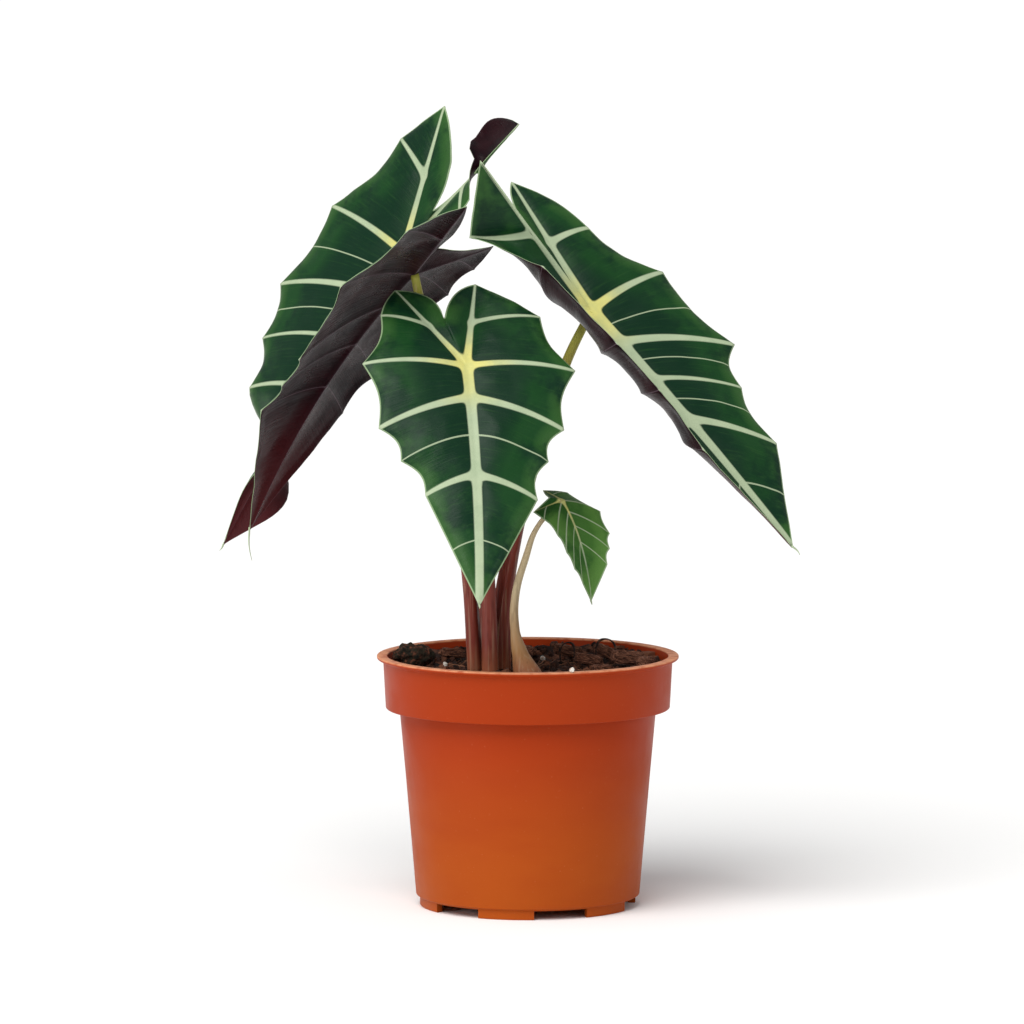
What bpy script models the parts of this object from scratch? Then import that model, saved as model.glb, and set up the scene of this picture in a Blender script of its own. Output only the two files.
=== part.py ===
"""An alocasia with five arrow-shaped leaves, growing in a 12 cm nursery pot. Metres, +Z up, seen from -Y.

The origin is the centre of the pot's underside. Each leaf blade is drawn by its veins: the ends of the side
veins, the lobes and the tip are placed in the blade's own frame, and the surface runs between them.
"""

import math
import random

import bmesh
import bpy
import numpy as np
from mathutils import Matrix, Vector

MM = 0.001
GAP = 0.3 * MM
WELD = 0.05 * MM

# The pot: a turned body with a wide collar, a thin lip, a notched foot ring and a flat pad in the middle.
POT_SEGMENTS = 48
POT_HEIGHT = 100 * MM
LIP_RADIUS = 60 * MM
LIP_DEPTH = 2 * MM
COLLAR_RADIUS = 57.5 * MM
COLLAR_HEIGHT = 21 * MM
COLLAR_TAPER = 1 * MM
BODY_TOP_RADIUS = 51 * MM
BODY_FOOT_RADIUS = 44.5 * MM
WALL = 1.6 * MM
FOOT_RADIUS = 43 * MM
FOOT_WIDTH = 3 * MM
FOOT_HEIGHT = 4 * MM
PAD_RADIUS = 13 * MM
PAD_SLOPE = 3 * MM
NOTCH_COUNT = 6
NOTCH_WIDTH = 22 * MM
NOTCH_HEIGHT = 3.6 * MM
FIRST_NOTCH = math.radians(18)

# The potting mix and the corm that sits in it.
SOIL_LEVEL = 93 * MM
SOIL_BUMP = 0.8 * MM
SOIL_RINGS = 7
SOIL_SEGMENTS = 32
STEM_X = -12 * MM
PIT_RADIUS = 14 * MM
PIT_DEPTH = 9 * MM
CORM_TOP = SOIL_LEVEL - 1 * MM
DRESSING_LEVEL = SOIL_LEVEL + SOIL_BUMP + GAP

# How a leaf blade is drawn. The shares say where on its spine each side vein starts.
BLADE_THICKNESS = 1.0 * MM
LOBE_VEIN_SHARE = 0.52
MIDRIB_VEIN_SHARES = (0.0, 0.14, 0.30, 0.47)
COLUMNS_PER_VEIN = 4
ROWS = 4
SCALLOP = 0.03
LOBE_TURN_START = 0.58
LOBE_TURN_LENGTH = 0.2
LOBE_WAIST = 0.65
LOBE_PADDLE_START = 0.7
LOBE_PADDLE = 13.0
TIP_TURN_START = 5.0
TIP_TURN_LENGTH = 0.7
STALK_CLEARANCE = 2.6 * MM

# Each point of a leaf is (reach to the right, way along the midrib, lift off the blade's plane), in mm.
# A side lists its lobe's tip first, then the ends of its side veins from the lobe to the tip. "inner" is a
# point halfway along the edge that faces the other lobe, and "swell" and "twist" round and turn a lobe's end.
LEAVES = {
    "front": {
        "junction": (-24, -48, 219),
        "turn": (-84, 58, -4),
        "tip": (0, 102, -3),
        "bow": (1, 3),
        "sinus": (-7, -23, -4),
        "arch": (0.05, 0.05),
        "right": ((7, -41, -9), (31, -24, -3), (43, 1, 0), (37, 27, 0), (30, 41, 0), (25, 57, -1)),
        "left": ((-25, -38, -10), (-32, -24, -5), (-41, 0, 0), (-36, 28, 0), (-28, 42, 0), (-19, 56, -1)),
        "inner": ((-2, -35, -7), (-12, -34, -8)),
        "swell": (1, 1),
        "twist": (0, 0),
        "tip_turn": 0,
        "stalk": ((-15, -7, 95), (-16, -8, 135), (-20, -18, 175), (-23, -34, 205)),
        "stalk_radii": (3.2, 2.7, 2.1, 1.8, 1.6),
    },
    "right": {
        "junction": (25, 0, 237),
        "turn": (-27, 47, 30),
        "tip": (4, 125, 0),
        "bow": (0, 2),
        "sinus": (-1, -33, 2),
        "arch": (0.04, -0.2),
        "right": ((11, -64, -2), (25, -31, 0), (40, 0, 0), (45, 41, 0), (34, 58, 0), (30, 85, 0)),
        "left": ((-20, -66, 32), (-32, -47, 11), (-25, -17, 27), (-22, 26, 29), (-18, 50, 26), (-15, 78, 20)),
        "inner": ((2, -52, 0), (-14, -48, 14)),
        "swell": (3, 1),
        "twist": (0, 0),
        "tip_turn": 0,
        "stalk": ((-11, 1, 95), (-10, 1, 115), (-7, 0, 139), (0, -1, 168), (15, 0, 216)),
        "stalk_radii": (4.0, 3.7, 3.2, 2.6, 2.0, 1.7),
    },
    "left_back": {
        "junction": (-50, 58, 256),
        "turn": (170, 58, -50),
        "tip": (0, 141, 0),
        "bow": (0, 4),
        "sinus": (4, -22, 2),
        "arch": (0.05, 0.05),
        "right": ((18, -71, 0), (21, -29, 5), (26, -1, 10), (32, 36, 8), (24, 58, 6), (9, 83, 4)),
        "left": ((-25, -57, 0), (-37, -35, 0), (-51, 5, 0), (-53, 44, 0), (-45, 66, 0), (-36, 85, 0)),
        "inner": ((9, -38, 0), (-5, -42, 0)),
        "swell": (3, 0),
        "twist": (180, 0),
        "tip_turn": -110,
        "stalk": ((-17, 9, 95), (-18, 12, 135), (-24, 24, 180), (-38, 44, 230)),
        "stalk_radii": (3.2, 2.8, 2.3, 1.9, 1.7),
    },
    "left_front": {
        "junction": (-45, -16, 253),
        "turn": (150, 54, 0),
        "tip": (0, 130, 0),
        "bow": (0, 6),
        "sinus": (4, -16, -4),
        "arch": (0.05, 0.05),
        "right": ((24, -46, -14), (35, -26, -3), (42, 7, 5), (40, 43, 4), (36, 58, 6), (31, 74, 10)),
        "left": ((-22, -22, -13), (-30, -6, -8), (-36, 12, -2), (-38, 38, 3), (-33, 58, 4), (-27, 77, 5)),
        "inner": ((10, -30, -10), (-8, -19, -10)),
        "swell": (2, 1),
        "twist": (0, 0),
        "tip_turn": 0,
        "stalk": ((-21, -2, 95), (-24, -3, 135), (-31, -6, 180), (-39, -11, 225)),
        "stalk_radii": (2.8, 2.6, 2.2, 1.9, 1.7),
    },
    "small": {
        "junction": (13.5, -5, 162),
        "turn": (-40, 35, 10),
        "tip": (-3, 34, -24),
        "bow": (1, 3),
        "sinus": (-2, -5, -2),
        "arch": (0.05, 0.05),
        "right": ((1, -11, -4), (7, -4, -1), (13, 10, -1), (12, 19, -5), (9, 24, -8), (6, 28, -12)),
        "left": ((-8, -5, -8), (-9, 2, -6), (-9, 11, -7), (-9, 18, -10), (-8, 24, -14), (-6, 29, -18)),
        "inner": ((-1, -8, -3), (-5, -5, -5)),
        "swell": (1, 0),
        "twist": (0, 0),
        "tip_turn": 0,
        "stalk": ((0, -8, 95), (-3, -8, 101), (-5, -8, 110), (-5, -7, 124), (-1, -6, 139), (4, -6, 152)),
        "stalk_radii": (5.2, 3.3, 1.9, 1.6, 1.4, 1.0, 0.9),
    },
}

# Bark chips on the mix: centre x and y in mm, turn and tilt in degrees, then length, width and height in mm.
BARK_CHIPS = (
    (40, 8, 20, 8, (15, 8, 6)),
    (33, 27, -35, 12, (14, 7, 5)),
    (47, -9, 70, 6, (12, 7, 6)),
    (24, 10, -10, 9, (12, 6, 4)),
    (16, 33, 15, 10, (12, 7, 5)),
    (-30, 30, 40, 8, (13, 7, 4)),
    (-2, 42, -20, 7, (11, 6, 4)),
    (30, -12, 35, 7, (9, 5, 3)),
)
MOSS_CENTRE = (-46 * MM, 8 * MM)
MOSS_SIZE = (17 * MM, 13 * MM, 11 * MM)

# Fallen root ends that arch out of the mix: feet centre x and y, half span, height (mm) and turn (degrees).
ROOT_ARCHES = ((31, 16, 4, 11, 10), (16, 20, 3, 9, -15))
ROOT_RADIUS = 0.5 * MM

# Perlite grains: x, y, height of the surface below and radius, all in mm.
PERLITE = ((17, -57.5, 100, 1.1), (6, 26, 94.1, 1.3), (-33, 6, 94.1, 1.2), (40, 22, 94.1, 1.2))


def clear_scene():
    for obj in list(bpy.data.objects):
        bpy.data.objects.remove(obj, do_unlink=True)


def material(name, colour, roughness):
    """A plain Principled surface. The colour is given as it looks, 0 to 255, and stored linear."""
    made = bpy.data.materials.new(name)
    made.use_nodes = True
    linear = [((value / 255 + 0.055) / 1.055) ** 2.4 for value in colour]
    shader = made.node_tree.nodes["Principled BSDF"]
    shader.inputs["Base Color"].default_value = (*linear, 1.0)
    shader.inputs["Roughness"].default_value = roughness
    shader.inputs["Metallic"].default_value = 0.0
    return made


def add_object(name, data, surface):
    obj = bpy.data.objects.new(name, data)
    data.materials.append(surface)
    bpy.context.scene.collection.objects.link(obj)
    return obj


def mesh_object(name, form, surface, sharp=35):
    """Turns a bmesh into an object, shaded smooth except across edges sharper than the angle given."""
    mesh = bpy.data.meshes.new(name)
    form.to_mesh(mesh)
    form.free()
    mesh.shade_smooth()
    mesh.set_sharp_from_angle(angle=math.radians(sharp))
    return add_object(name, mesh, surface)


def turned(profile, segments):
    """A closed body turned about Z from (radius, height) points that start and end on the axis."""
    form = bmesh.new()
    rings = []
    for radius, height in profile:
        count = segments if radius > 0 else 1
        angles = [math.tau * index / segments for index in range(count)]
        rings.append([form.verts.new((radius * math.cos(a), radius * math.sin(a), height)) for a in angles])
    for lower, upper in zip(rings, rings[1:]):
        for index in range(segments):
            after = (index + 1) % segments
            corners = [lower[index % len(lower)], lower[after % len(lower)]]
            corners += [upper[after % len(upper)], upper[index % len(upper)]]
            form.faces.new(list(dict.fromkeys(corners)))
    bmesh.ops.recalc_face_normals(form, faces=form.faces)
    return form


def cut(obj, cutter):
    """Takes the cutter's shape out of the object, and keeps the cutter as a hidden guide."""
    cutter.hide_render = True
    cutter.display_type = "WIRE"
    modifier = obj.modifiers.new("Cut", "BOOLEAN")
    modifier.operation = "DIFFERENCE"
    modifier.solver = "EXACT"
    modifier.object = cutter


def body_radius(height):
    """The pot body's outer radius at a height between its foot and its collar."""
    rise = (height - FOOT_HEIGHT) / (POT_HEIGHT - COLLAR_HEIGHT - FOOT_HEIGHT)
    return BODY_FOOT_RADIUS + rise * (BODY_TOP_RADIUS - BODY_FOOT_RADIUS)


def pot_outside():
    shoulder = POT_HEIGHT - COLLAR_HEIGHT
    return [
        (0, 0),
        (PAD_RADIUS, 0),
        (PAD_RADIUS + PAD_SLOPE, FOOT_HEIGHT),
        (FOOT_RADIUS - FOOT_WIDTH, FOOT_HEIGHT),
        (FOOT_RADIUS - FOOT_WIDTH, 0),
        (FOOT_RADIUS, 0),
        (FOOT_RADIUS, FOOT_HEIGHT),
        (BODY_FOOT_RADIUS, FOOT_HEIGHT + 0.3 * MM),
        (BODY_TOP_RADIUS, shoulder),
        (COLLAR_RADIUS - COLLAR_TAPER, shoulder),
        (COLLAR_RADIUS, POT_HEIGHT - LIP_DEPTH),
        (LIP_RADIUS, POT_HEIGHT - 0.6 * LIP_DEPTH),
        (LIP_RADIUS, POT_HEIGHT),
    ]


def pot_inside():
    """The inner wall from the rim down to the middle of the floor."""
    ledge = POT_HEIGHT - COLLAR_HEIGHT + WALL
    floor = FOOT_HEIGHT + WALL
    return [
        (COLLAR_RADIUS - WALL, POT_HEIGHT),
        (COLLAR_RADIUS - COLLAR_TAPER - WALL, ledge),
        (BODY_TOP_RADIUS - WALL, ledge),
        (body_radius(floor) - WALL, floor),
        (PAD_RADIUS + PAD_SLOPE, floor),
        (PAD_RADIUS, WALL),
        (0, WALL),
    ]


def make_pot():
    pot = mesh_object("pot", turned(pot_outside() + pot_inside(), POT_SEGMENTS), TERRACOTTA_PLASTIC)
    notches = bmesh.new()
    for index in range(NOTCH_COUNT):
        made = bmesh.ops.create_cube(notches, size=1)["verts"]
        bmesh.ops.scale(notches, verts=made, vec=(NOTCH_WIDTH, 3 * FOOT_WIDTH, 2 * NOTCH_HEIGHT))
        bmesh.ops.translate(notches, verts=made, vec=(0, -(FOOT_RADIUS - FOOT_WIDTH / 2), 0))
        turn = FIRST_NOTCH + math.tau * index / NOTCH_COUNT
        bmesh.ops.rotate(notches, verts=made, cent=(0, 0, 0), matrix=Matrix.Rotation(turn, 3, "Z"))
    cut(pot, mesh_object("foot_notches", notches, TERRACOTTA_PLASTIC))


def soil_height(x, y):
    """The potting mix's surface: a level with gentle bumps, given in metres."""
    bumps = math.sin(160 * x + 1.3) * math.cos(190 * y) + 0.6 * math.sin(330 * x - 270 * y)
    return SOIL_LEVEL + SOIL_BUMP * bumps / 1.6


def make_potting_mix():
    ledge = POT_HEIGHT - COLLAR_HEIGHT + WALL + GAP
    floor = FOOT_HEIGHT + WALL + GAP
    rim = COLLAR_RADIUS - WALL - COLLAR_TAPER - GAP
    neck = BODY_TOP_RADIUS - WALL - GAP
    sides = [
        (0, WALL + GAP),
        (PAD_RADIUS - GAP, WALL + GAP),
        (PAD_RADIUS + PAD_SLOPE, floor + GAP),
        (body_radius(floor) - WALL - GAP, floor + GAP),
        (neck, ledge),
        (rim, ledge),
    ]
    top = [(rim * (SOIL_RINGS - ring) / SOIL_RINGS, SOIL_LEVEL) for ring in range(SOIL_RINGS + 1)]
    form = turned(sides + top, SOIL_SEGMENTS)
    for vert in form.verts:
        if vert.co.z > ledge + GAP:
            vert.co.z = soil_height(vert.co.x, vert.co.y)
    mix = mesh_object("potting_mix", form, POTTING_MIX)
    pit = turned([(0, -PIT_DEPTH), (PIT_RADIUS, -PIT_DEPTH), (PIT_RADIUS, PIT_DEPTH), (0, PIT_DEPTH)], 20)
    cutter = mesh_object("corm_pit", pit, POTTING_MIX)
    cutter.location = (STEM_X, 0, SOIL_LEVEL)
    cut(mix, cutter)


def make_corm():
    """The thick rootstock that the leaf stalks stand on, sunk in the mix."""
    bottom = SOIL_LEVEL - PIT_DEPTH + GAP
    radius = PIT_RADIUS - GAP
    profile = [(0, bottom), (0.8 * radius, bottom), (radius, bottom + 2 * MM), (radius, CORM_TOP - 1 * MM)]
    profile += [(0.93 * radius, CORM_TOP), (0, CORM_TOP)]
    corm = mesh_object("corm", turned(profile, 20), CORM_BROWN)
    corm.location = (STEM_X, 0, 0)


def blade_frame(leaf):
    """The blade's unit vectors: to its right, down its midrib, and out of its upper side."""
    heading, pitch, roll = (math.radians(angle) for angle in leaf["turn"])
    level = np.array([math.cos(heading), math.sin(heading), 0.0])
    along = math.cos(pitch) * level + np.array([0.0, 0.0, -math.sin(pitch)])
    side = np.array([-math.sin(heading), math.cos(heading), 0.0])
    reach = math.cos(roll) * side + math.sin(roll) * np.cross(along, side)
    return np.array([reach, along, np.cross(along, reach)])


def bowed(end, bow, share):
    """A point on a curve from the origin to end that bulges by bow halfway."""
    return end * share + bow * 4 * share * (1 - share)


def spine_share(station):
    """How far along its spine a station lies: 0 is the lobe's tip, 2 the junction, 6 the blade's tip."""
    shares = (-1.0, -LOBE_VEIN_SHARE, *MIDRIB_VEIN_SHARES, 1.0)
    return float(np.interp(station, range(len(shares)), shares))


def spine_point(leaf, lobe_tip, share):
    """A point of the midrib, or of the lobe's spine where the share is negative."""
    if share < 0:
        return lobe_tip * -share
    bow_reach, bow_lift = leaf["bow"]
    return bowed(np.array(leaf["tip"], float), np.array([bow_reach, 0.0, bow_lift]), share)


def lobe_turned(offset, lobe_tip, share, twist):
    """Turns a step off the lobe's spine about that spine, from none at its middle to all of it near its tip.

    The lobe draws in to a waist where it turns over, and spreads to a paddle past it.
    """
    if share >= 0 or twist == 0:
        return offset
    done = min(max((-share - LOBE_TURN_START) / LOBE_TURN_LENGTH, 0.0), 1.0)
    past = min(max((-share - LOBE_PADDLE_START) / (1 - LOBE_PADDLE_START), 0.0), 1.0)
    axis = Vector(lobe_tip).normalized()
    turn = Matrix.Rotation(math.radians(twist) * done * done * (3 - 2 * done), 3, axis)
    width = np.linalg.norm(offset)
    widened = 1 - LOBE_WAIST * math.sin(math.pi * done)
    if width > 0:
        widened += LOBE_PADDLE * math.sin(math.pi * past) ** 0.7 / width
    return np.array(turn @ Vector(offset)) * widened


def tip_turned(offset, station, turn):
    """Turns a step off the midrib about it: none at the last side veins, and all of it near the tip."""
    done = min(max((station - TIP_TURN_START) / TIP_TURN_LENGTH, 0.0), 1.0)
    turned_by = math.radians(turn) * done * done * (3 - 2 * done)
    return np.array(Matrix.Rotation(turned_by, 3, "Y") @ Vector(offset))


def margin_point(leaf, ends, root, station, side, swell):
    """The blade's edge at a station: scalloped between side veins, and swollen by the lobe's tip."""
    low = min(int(station), len(ends) - 2)
    share = station - low
    edge = ends[low] * (1 - share) + ends[low + 1] * share
    inward = root - edge
    width = np.linalg.norm(inward)
    if low == 0:
        return edge + np.array([side * swell * math.sin(math.pi * share), 0.0, 0.0])
    if low == len(ends) - 2 or width == 0:
        return edge
    return edge + inward * min(SCALLOP * leaf["tip"][1] * math.sin(math.pi * share) / width, 0.3)


def outer_grid(leaf, ends, side, swell, twist, arch):
    """Points from the spine to the edge, one column for each station along it."""
    columns = []
    for step in range((len(ends) - 1) * COLUMNS_PER_VEIN + 1):
        station = step / COLUMNS_PER_VEIN
        share = spine_share(station)
        root = spine_point(leaf, ends[0], share)
        out = lobe_turned(margin_point(leaf, ends, root, station, side, swell) - root, ends[0], share, twist)
        out = tip_turned(out, station, leaf["tip_turn"])
        rise = np.cross(out, (0.0, 1.0, 0.0)) * side * arch
        columns.append([root + bowed(out, rise, row / ROWS) for row in range(ROWS + 1)])
    return columns


def inner_grid(leaf, ends, middle, twist):
    """Points from a lobe's spine to the edge that faces the other lobe."""
    lobe_tip, sinus = ends[0], np.array(leaf["sinus"], float)
    shoulder = 2 * np.array(middle, float) - (sinus + lobe_tip) / 2
    columns = []
    for step in range(2 * COLUMNS_PER_VEIN + 1):
        share = -spine_share(2 - step / COLUMNS_PER_VEIN)
        root = lobe_tip * share
        edge = sinus * (1 - share) ** 2 + shoulder * 2 * share * (1 - share) + lobe_tip * share**2
        out = lobe_turned(edge - root, lobe_tip, -share, twist)
        columns.append([root, root + out / 2, root + out])
    return columns


def add_grid(form, columns, place, mirrored):
    rows = [[form.verts.new(place(point)) for point in column] for column in columns]
    for first, second in zip(rows, rows[1:]):
        for low in range(len(first) - 1):
            corners = [first[low], second[low], second[low + 1], first[low + 1]]
            form.faces.new(corners[::-1] if mirrored else corners)


def make_blade(name, leaf, surface):
    junction = np.array(leaf["junction"], float)
    frame = blade_frame(leaf)
    form = bmesh.new()
    sides = zip((1, -1), ("right", "left"), leaf["inner"], leaf["swell"], leaf["twist"], leaf["arch"])
    for side, key, inner, swell, twist, arch in sides:
        ends = [np.array(point, float) for point in (*leaf[key], leaf["tip"])]
        outer = outer_grid(leaf, ends, side, swell, twist, arch)
        for columns in (outer, inner_grid(leaf, ends, inner, twist)):
            add_grid(form, columns, lambda point: (junction + point @ frame) * MM, side < 0)
    bmesh.ops.remove_doubles(form, verts=form.verts, dist=WELD)
    blade = mesh_object("leaf_" + name, form, surface)
    shell = blade.modifiers.new("Thickness", "SOLIDIFY")
    shell.thickness = BLADE_THICKNESS
    shell.offset = 0


def make_stalk(name, leaf, surface):
    """The leaf stalk: a tapering curve from the corm to just under the blade's junction."""
    under = np.array(leaf["junction"], float) - blade_frame(leaf)[2] * STALK_CLEARANCE / MM
    points = [*leaf["stalk"], tuple(under)]
    curve = bpy.data.curves.new("petiole_" + name, "CURVE")
    curve.dimensions = "3D"
    curve.resolution_u = 4
    curve.bevel_depth = MM
    curve.bevel_resolution = 2
    curve.use_fill_caps = True
    spline = curve.splines.new("BEZIER")
    spline.bezier_points.add(len(points) - 1)
    for knot, point, radius in zip(spline.bezier_points, points, leaf["stalk_radii"]):
        knot.co = [value * MM for value in point]
        knot.radius = radius
        knot.handle_left_type = knot.handle_right_type = "AUTO"
    add_object("petiole_" + name, curve, surface)


def chip_points(dice):
    """Points of a rough block one unit long each way: its corners, then a few on its top and bottom."""
    corners = [(x, y, z) for x in (-0.5, 0.5) for y in (-0.5, 0.5) for z in (-0.5, 0.5)]
    worn = [[value * dice.uniform(0.75, 1.0) for value in corner] for corner in corners]
    split = [[dice.uniform(-0.45, 0.45) for _ in range(2)] + [dice.choice((-0.5, 0.5))] for _ in range(6)]
    return worn + split


def make_bark_chips():
    """Rough split chips, each the hull of a worn block, turned and tilted on the mix."""
    for index, (x, y, turn, tilt, size) in enumerate(BARK_CHIPS, start=1):
        form = bmesh.new()
        for point in chip_points(random.Random(index)):
            form.verts.new([value * length * MM for value, length in zip(point, size)])
        bmesh.ops.convex_hull(form, input=form.verts)
        bmesh.ops.delete(form, geom=[vert for vert in form.verts if not vert.link_faces], context="VERTS")
        lie = Matrix.Rotation(math.radians(turn), 3, "Z") @ Matrix.Rotation(math.radians(tilt), 3, "Y")
        bmesh.ops.rotate(form, verts=form.verts, cent=(0, 0, 0), matrix=lie)
        lowest = min(vert.co.z for vert in form.verts)
        chip = mesh_object(f"bark_chip_{index}", form, BARK, sharp=20)
        chip.location = (x * MM, y * MM, DRESSING_LEVEL - lowest)


def make_moss_clump():
    """A crumbling clump of moss and mix by the left rim, flat underneath."""
    form = bmesh.new()
    bmesh.ops.create_icosphere(form, subdivisions=2, radius=0.5)
    for vert in form.verts:
        x, y, z = vert.co
        swell = 1 + 0.12 * math.sin(9 * x + 2) * math.cos(8 * y - 1) + 0.1 * math.sin(11 * z + 5 * x)
        vert.co = [value * size * swell for value, size in zip((x, y, z), MOSS_SIZE)]
        vert.co.z = max(vert.co.z, -0.36 * MOSS_SIZE[2])
    clump = mesh_object("moss_clump", form, MOSS)
    clump.location = (*MOSS_CENTRE, DRESSING_LEVEL + 0.36 * MOSS_SIZE[2])


def make_root_arches():
    for index, (x, y, half_span, height, turn) in enumerate(ROOT_ARCHES, start=1):
        turn = math.radians(turn)
        curve = bpy.data.curves.new(f"root_arch_{index}", "CURVE")
        curve.dimensions = "3D"
        curve.bevel_depth = ROOT_RADIUS
        curve.bevel_resolution = 1
        curve.use_fill_caps = True
        spline = curve.splines.new("POLY")
        steps = 12
        spline.points.add(steps)
        for step, point in enumerate(spline.points):
            angle = math.pi * step / steps
            out = -half_span * math.cos(angle) * (1 + 0.35 * math.sin(angle))
            place = (x + out * math.cos(turn), y + out * math.sin(turn), height * math.sin(angle))
            point.co = (*(value * MM for value in place), 1)
        arch = add_object(f"root_arch_{index}", curve, ROOT)
        arch.location.z = DRESSING_LEVEL + ROOT_RADIUS


def make_perlite():
    for index, (x, y, below, radius) in enumerate(PERLITE, start=1):
        dice = random.Random(40 + index)
        form = bmesh.new()
        bmesh.ops.create_icosphere(form, subdivisions=1, radius=radius * MM)
        for vert in form.verts:
            vert.co *= dice.uniform(0.8, 1.0)
        grain = mesh_object(f"perlite_{index}", form, PERLITE_WHITE)
        grain.location = (x * MM, y * MM, (below + radius) * MM + GAP)


clear_scene()

TERRACOTTA_PLASTIC = material("terracotta plastic", (179, 76, 35), 0.45)
POTTING_MIX = material("potting mix", (33, 20, 16), 0.95)
CORM_BROWN = material("corm", (84, 52, 36), 0.85)
BARK = material("bark", (100, 64, 46), 0.9)
MOSS = material("moss", (44, 38, 24), 0.95)
ROOT = material("root", (120, 82, 56), 0.85)
PERLITE_WHITE = material("perlite", (226, 222, 212), 0.9)
STALK = material("stalk", (94, 47, 35), 0.45)
PALE_STALK = material("pale stalk", (180, 160, 128), 0.5)
BLADE_GREEN = material("blade green", (35, 71, 37), 0.4)
BLADE_DARK = material("blade underside", (34, 19, 28), 0.35)

make_pot()
make_potting_mix()
make_corm()
for leaf_name, leaf_values in LEAVES.items():
    make_blade(leaf_name, leaf_values, BLADE_DARK if leaf_name == "left_front" else BLADE_GREEN)
    make_stalk(leaf_name, leaf_values, PALE_STALK if leaf_name == "small" else STALK)
make_bark_chips()
make_moss_clump()
make_root_arches()
make_perlite()
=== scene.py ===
"""A potted alocasia: five arrow-shaped leaves with pale veins and dark undersides, on brown stalks in a nursery pot.

Everything is in metres, +Z up, seen from -Y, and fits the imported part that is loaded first. Leaf blades and stalks
are drawn point by point. The pot, the potting mix and the small pieces on it start as primitives shaped in edit mode.
"""

import math
import random

import bpy
import numpy as np
from mathutils import Matrix, Vector, noise


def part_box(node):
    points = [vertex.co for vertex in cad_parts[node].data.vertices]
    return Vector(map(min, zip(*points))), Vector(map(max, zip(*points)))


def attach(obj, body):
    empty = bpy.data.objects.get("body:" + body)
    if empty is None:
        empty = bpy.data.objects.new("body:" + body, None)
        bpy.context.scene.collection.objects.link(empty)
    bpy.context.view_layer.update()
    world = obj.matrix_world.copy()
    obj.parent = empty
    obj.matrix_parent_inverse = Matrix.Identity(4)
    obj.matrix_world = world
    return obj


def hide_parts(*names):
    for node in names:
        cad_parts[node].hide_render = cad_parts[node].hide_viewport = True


bl_info = {
    "name": "Potted Alocasia",
    "version": (1, 0, 0),
    "blender": (4, 5, 0),
    "location": "3D View > Sidebar > Alocasia",
    "description": "Builds an alocasia in its nursery pot, piece by piece",
    "category": "Add Mesh",
}

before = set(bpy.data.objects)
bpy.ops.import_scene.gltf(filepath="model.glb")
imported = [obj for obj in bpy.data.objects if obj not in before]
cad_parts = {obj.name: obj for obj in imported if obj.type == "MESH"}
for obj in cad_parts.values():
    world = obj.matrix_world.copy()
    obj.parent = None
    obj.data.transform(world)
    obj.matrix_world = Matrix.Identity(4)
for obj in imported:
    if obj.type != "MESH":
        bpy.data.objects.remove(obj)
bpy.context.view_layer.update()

MM = 0.001
BODY = "root"

# How a leaf blade is drawn: as the solid blade is, with many more points.
LOBE_VEIN_SHARE = 0.52
MIDRIB_VEIN_SHARES = (0.0, 0.14, 0.30, 0.47)
COLUMNS_PER_VEIN = 22
ROWS = 40
INNER_ROWS = 14
SCALLOP = 0.03
VEIN_SWEEP = 0.035
LOBE_TURN_START = 0.58
LOBE_TURN_LENGTH = 0.2
LOBE_WAIST = 0.65
LOBE_PADDLE_START = 0.7
LOBE_PADDLE = 13.0
TIP_TURN_START = 5.0
TIP_TURN_LENGTH = 0.7

# The mix: the rim of its bed, its mean surface, and how high waves, lumps and the bank at the back rise from that.
MIX_LEVEL = 0.0925
MIX_SURFACE = 0.0929
WAVE_HEIGHT = 0.0005
LUMP_HEIGHT = 0.0011
BANK_HEIGHT = 0.0042

# The windows in the pot's foot ring: how many, their size, the first one's turn in degrees, and their distance out.
WINDOW_COUNT = 6
WINDOW_SIZE = (0.022, 0.009, 0.0072)
FIRST_WINDOW = 18
FOOT_MIDDLE = 41.5 * MM

# The stage.
FLOOR_SIZE = 60
SUN_SPREAD = math.radians(50)
SUN_PLACE = (-0.45, -0.75, 1.3)
LIGHT_AIM = (0, 0, 0.16)
CAMERA_PLACE = (-0.0063, -3.0, 0.468)
CAMERA_AIM = (-0.0063, 0, 0.157)
CAMERA_LENS = 267.3
SENSOR_WIDTH = 36

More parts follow.
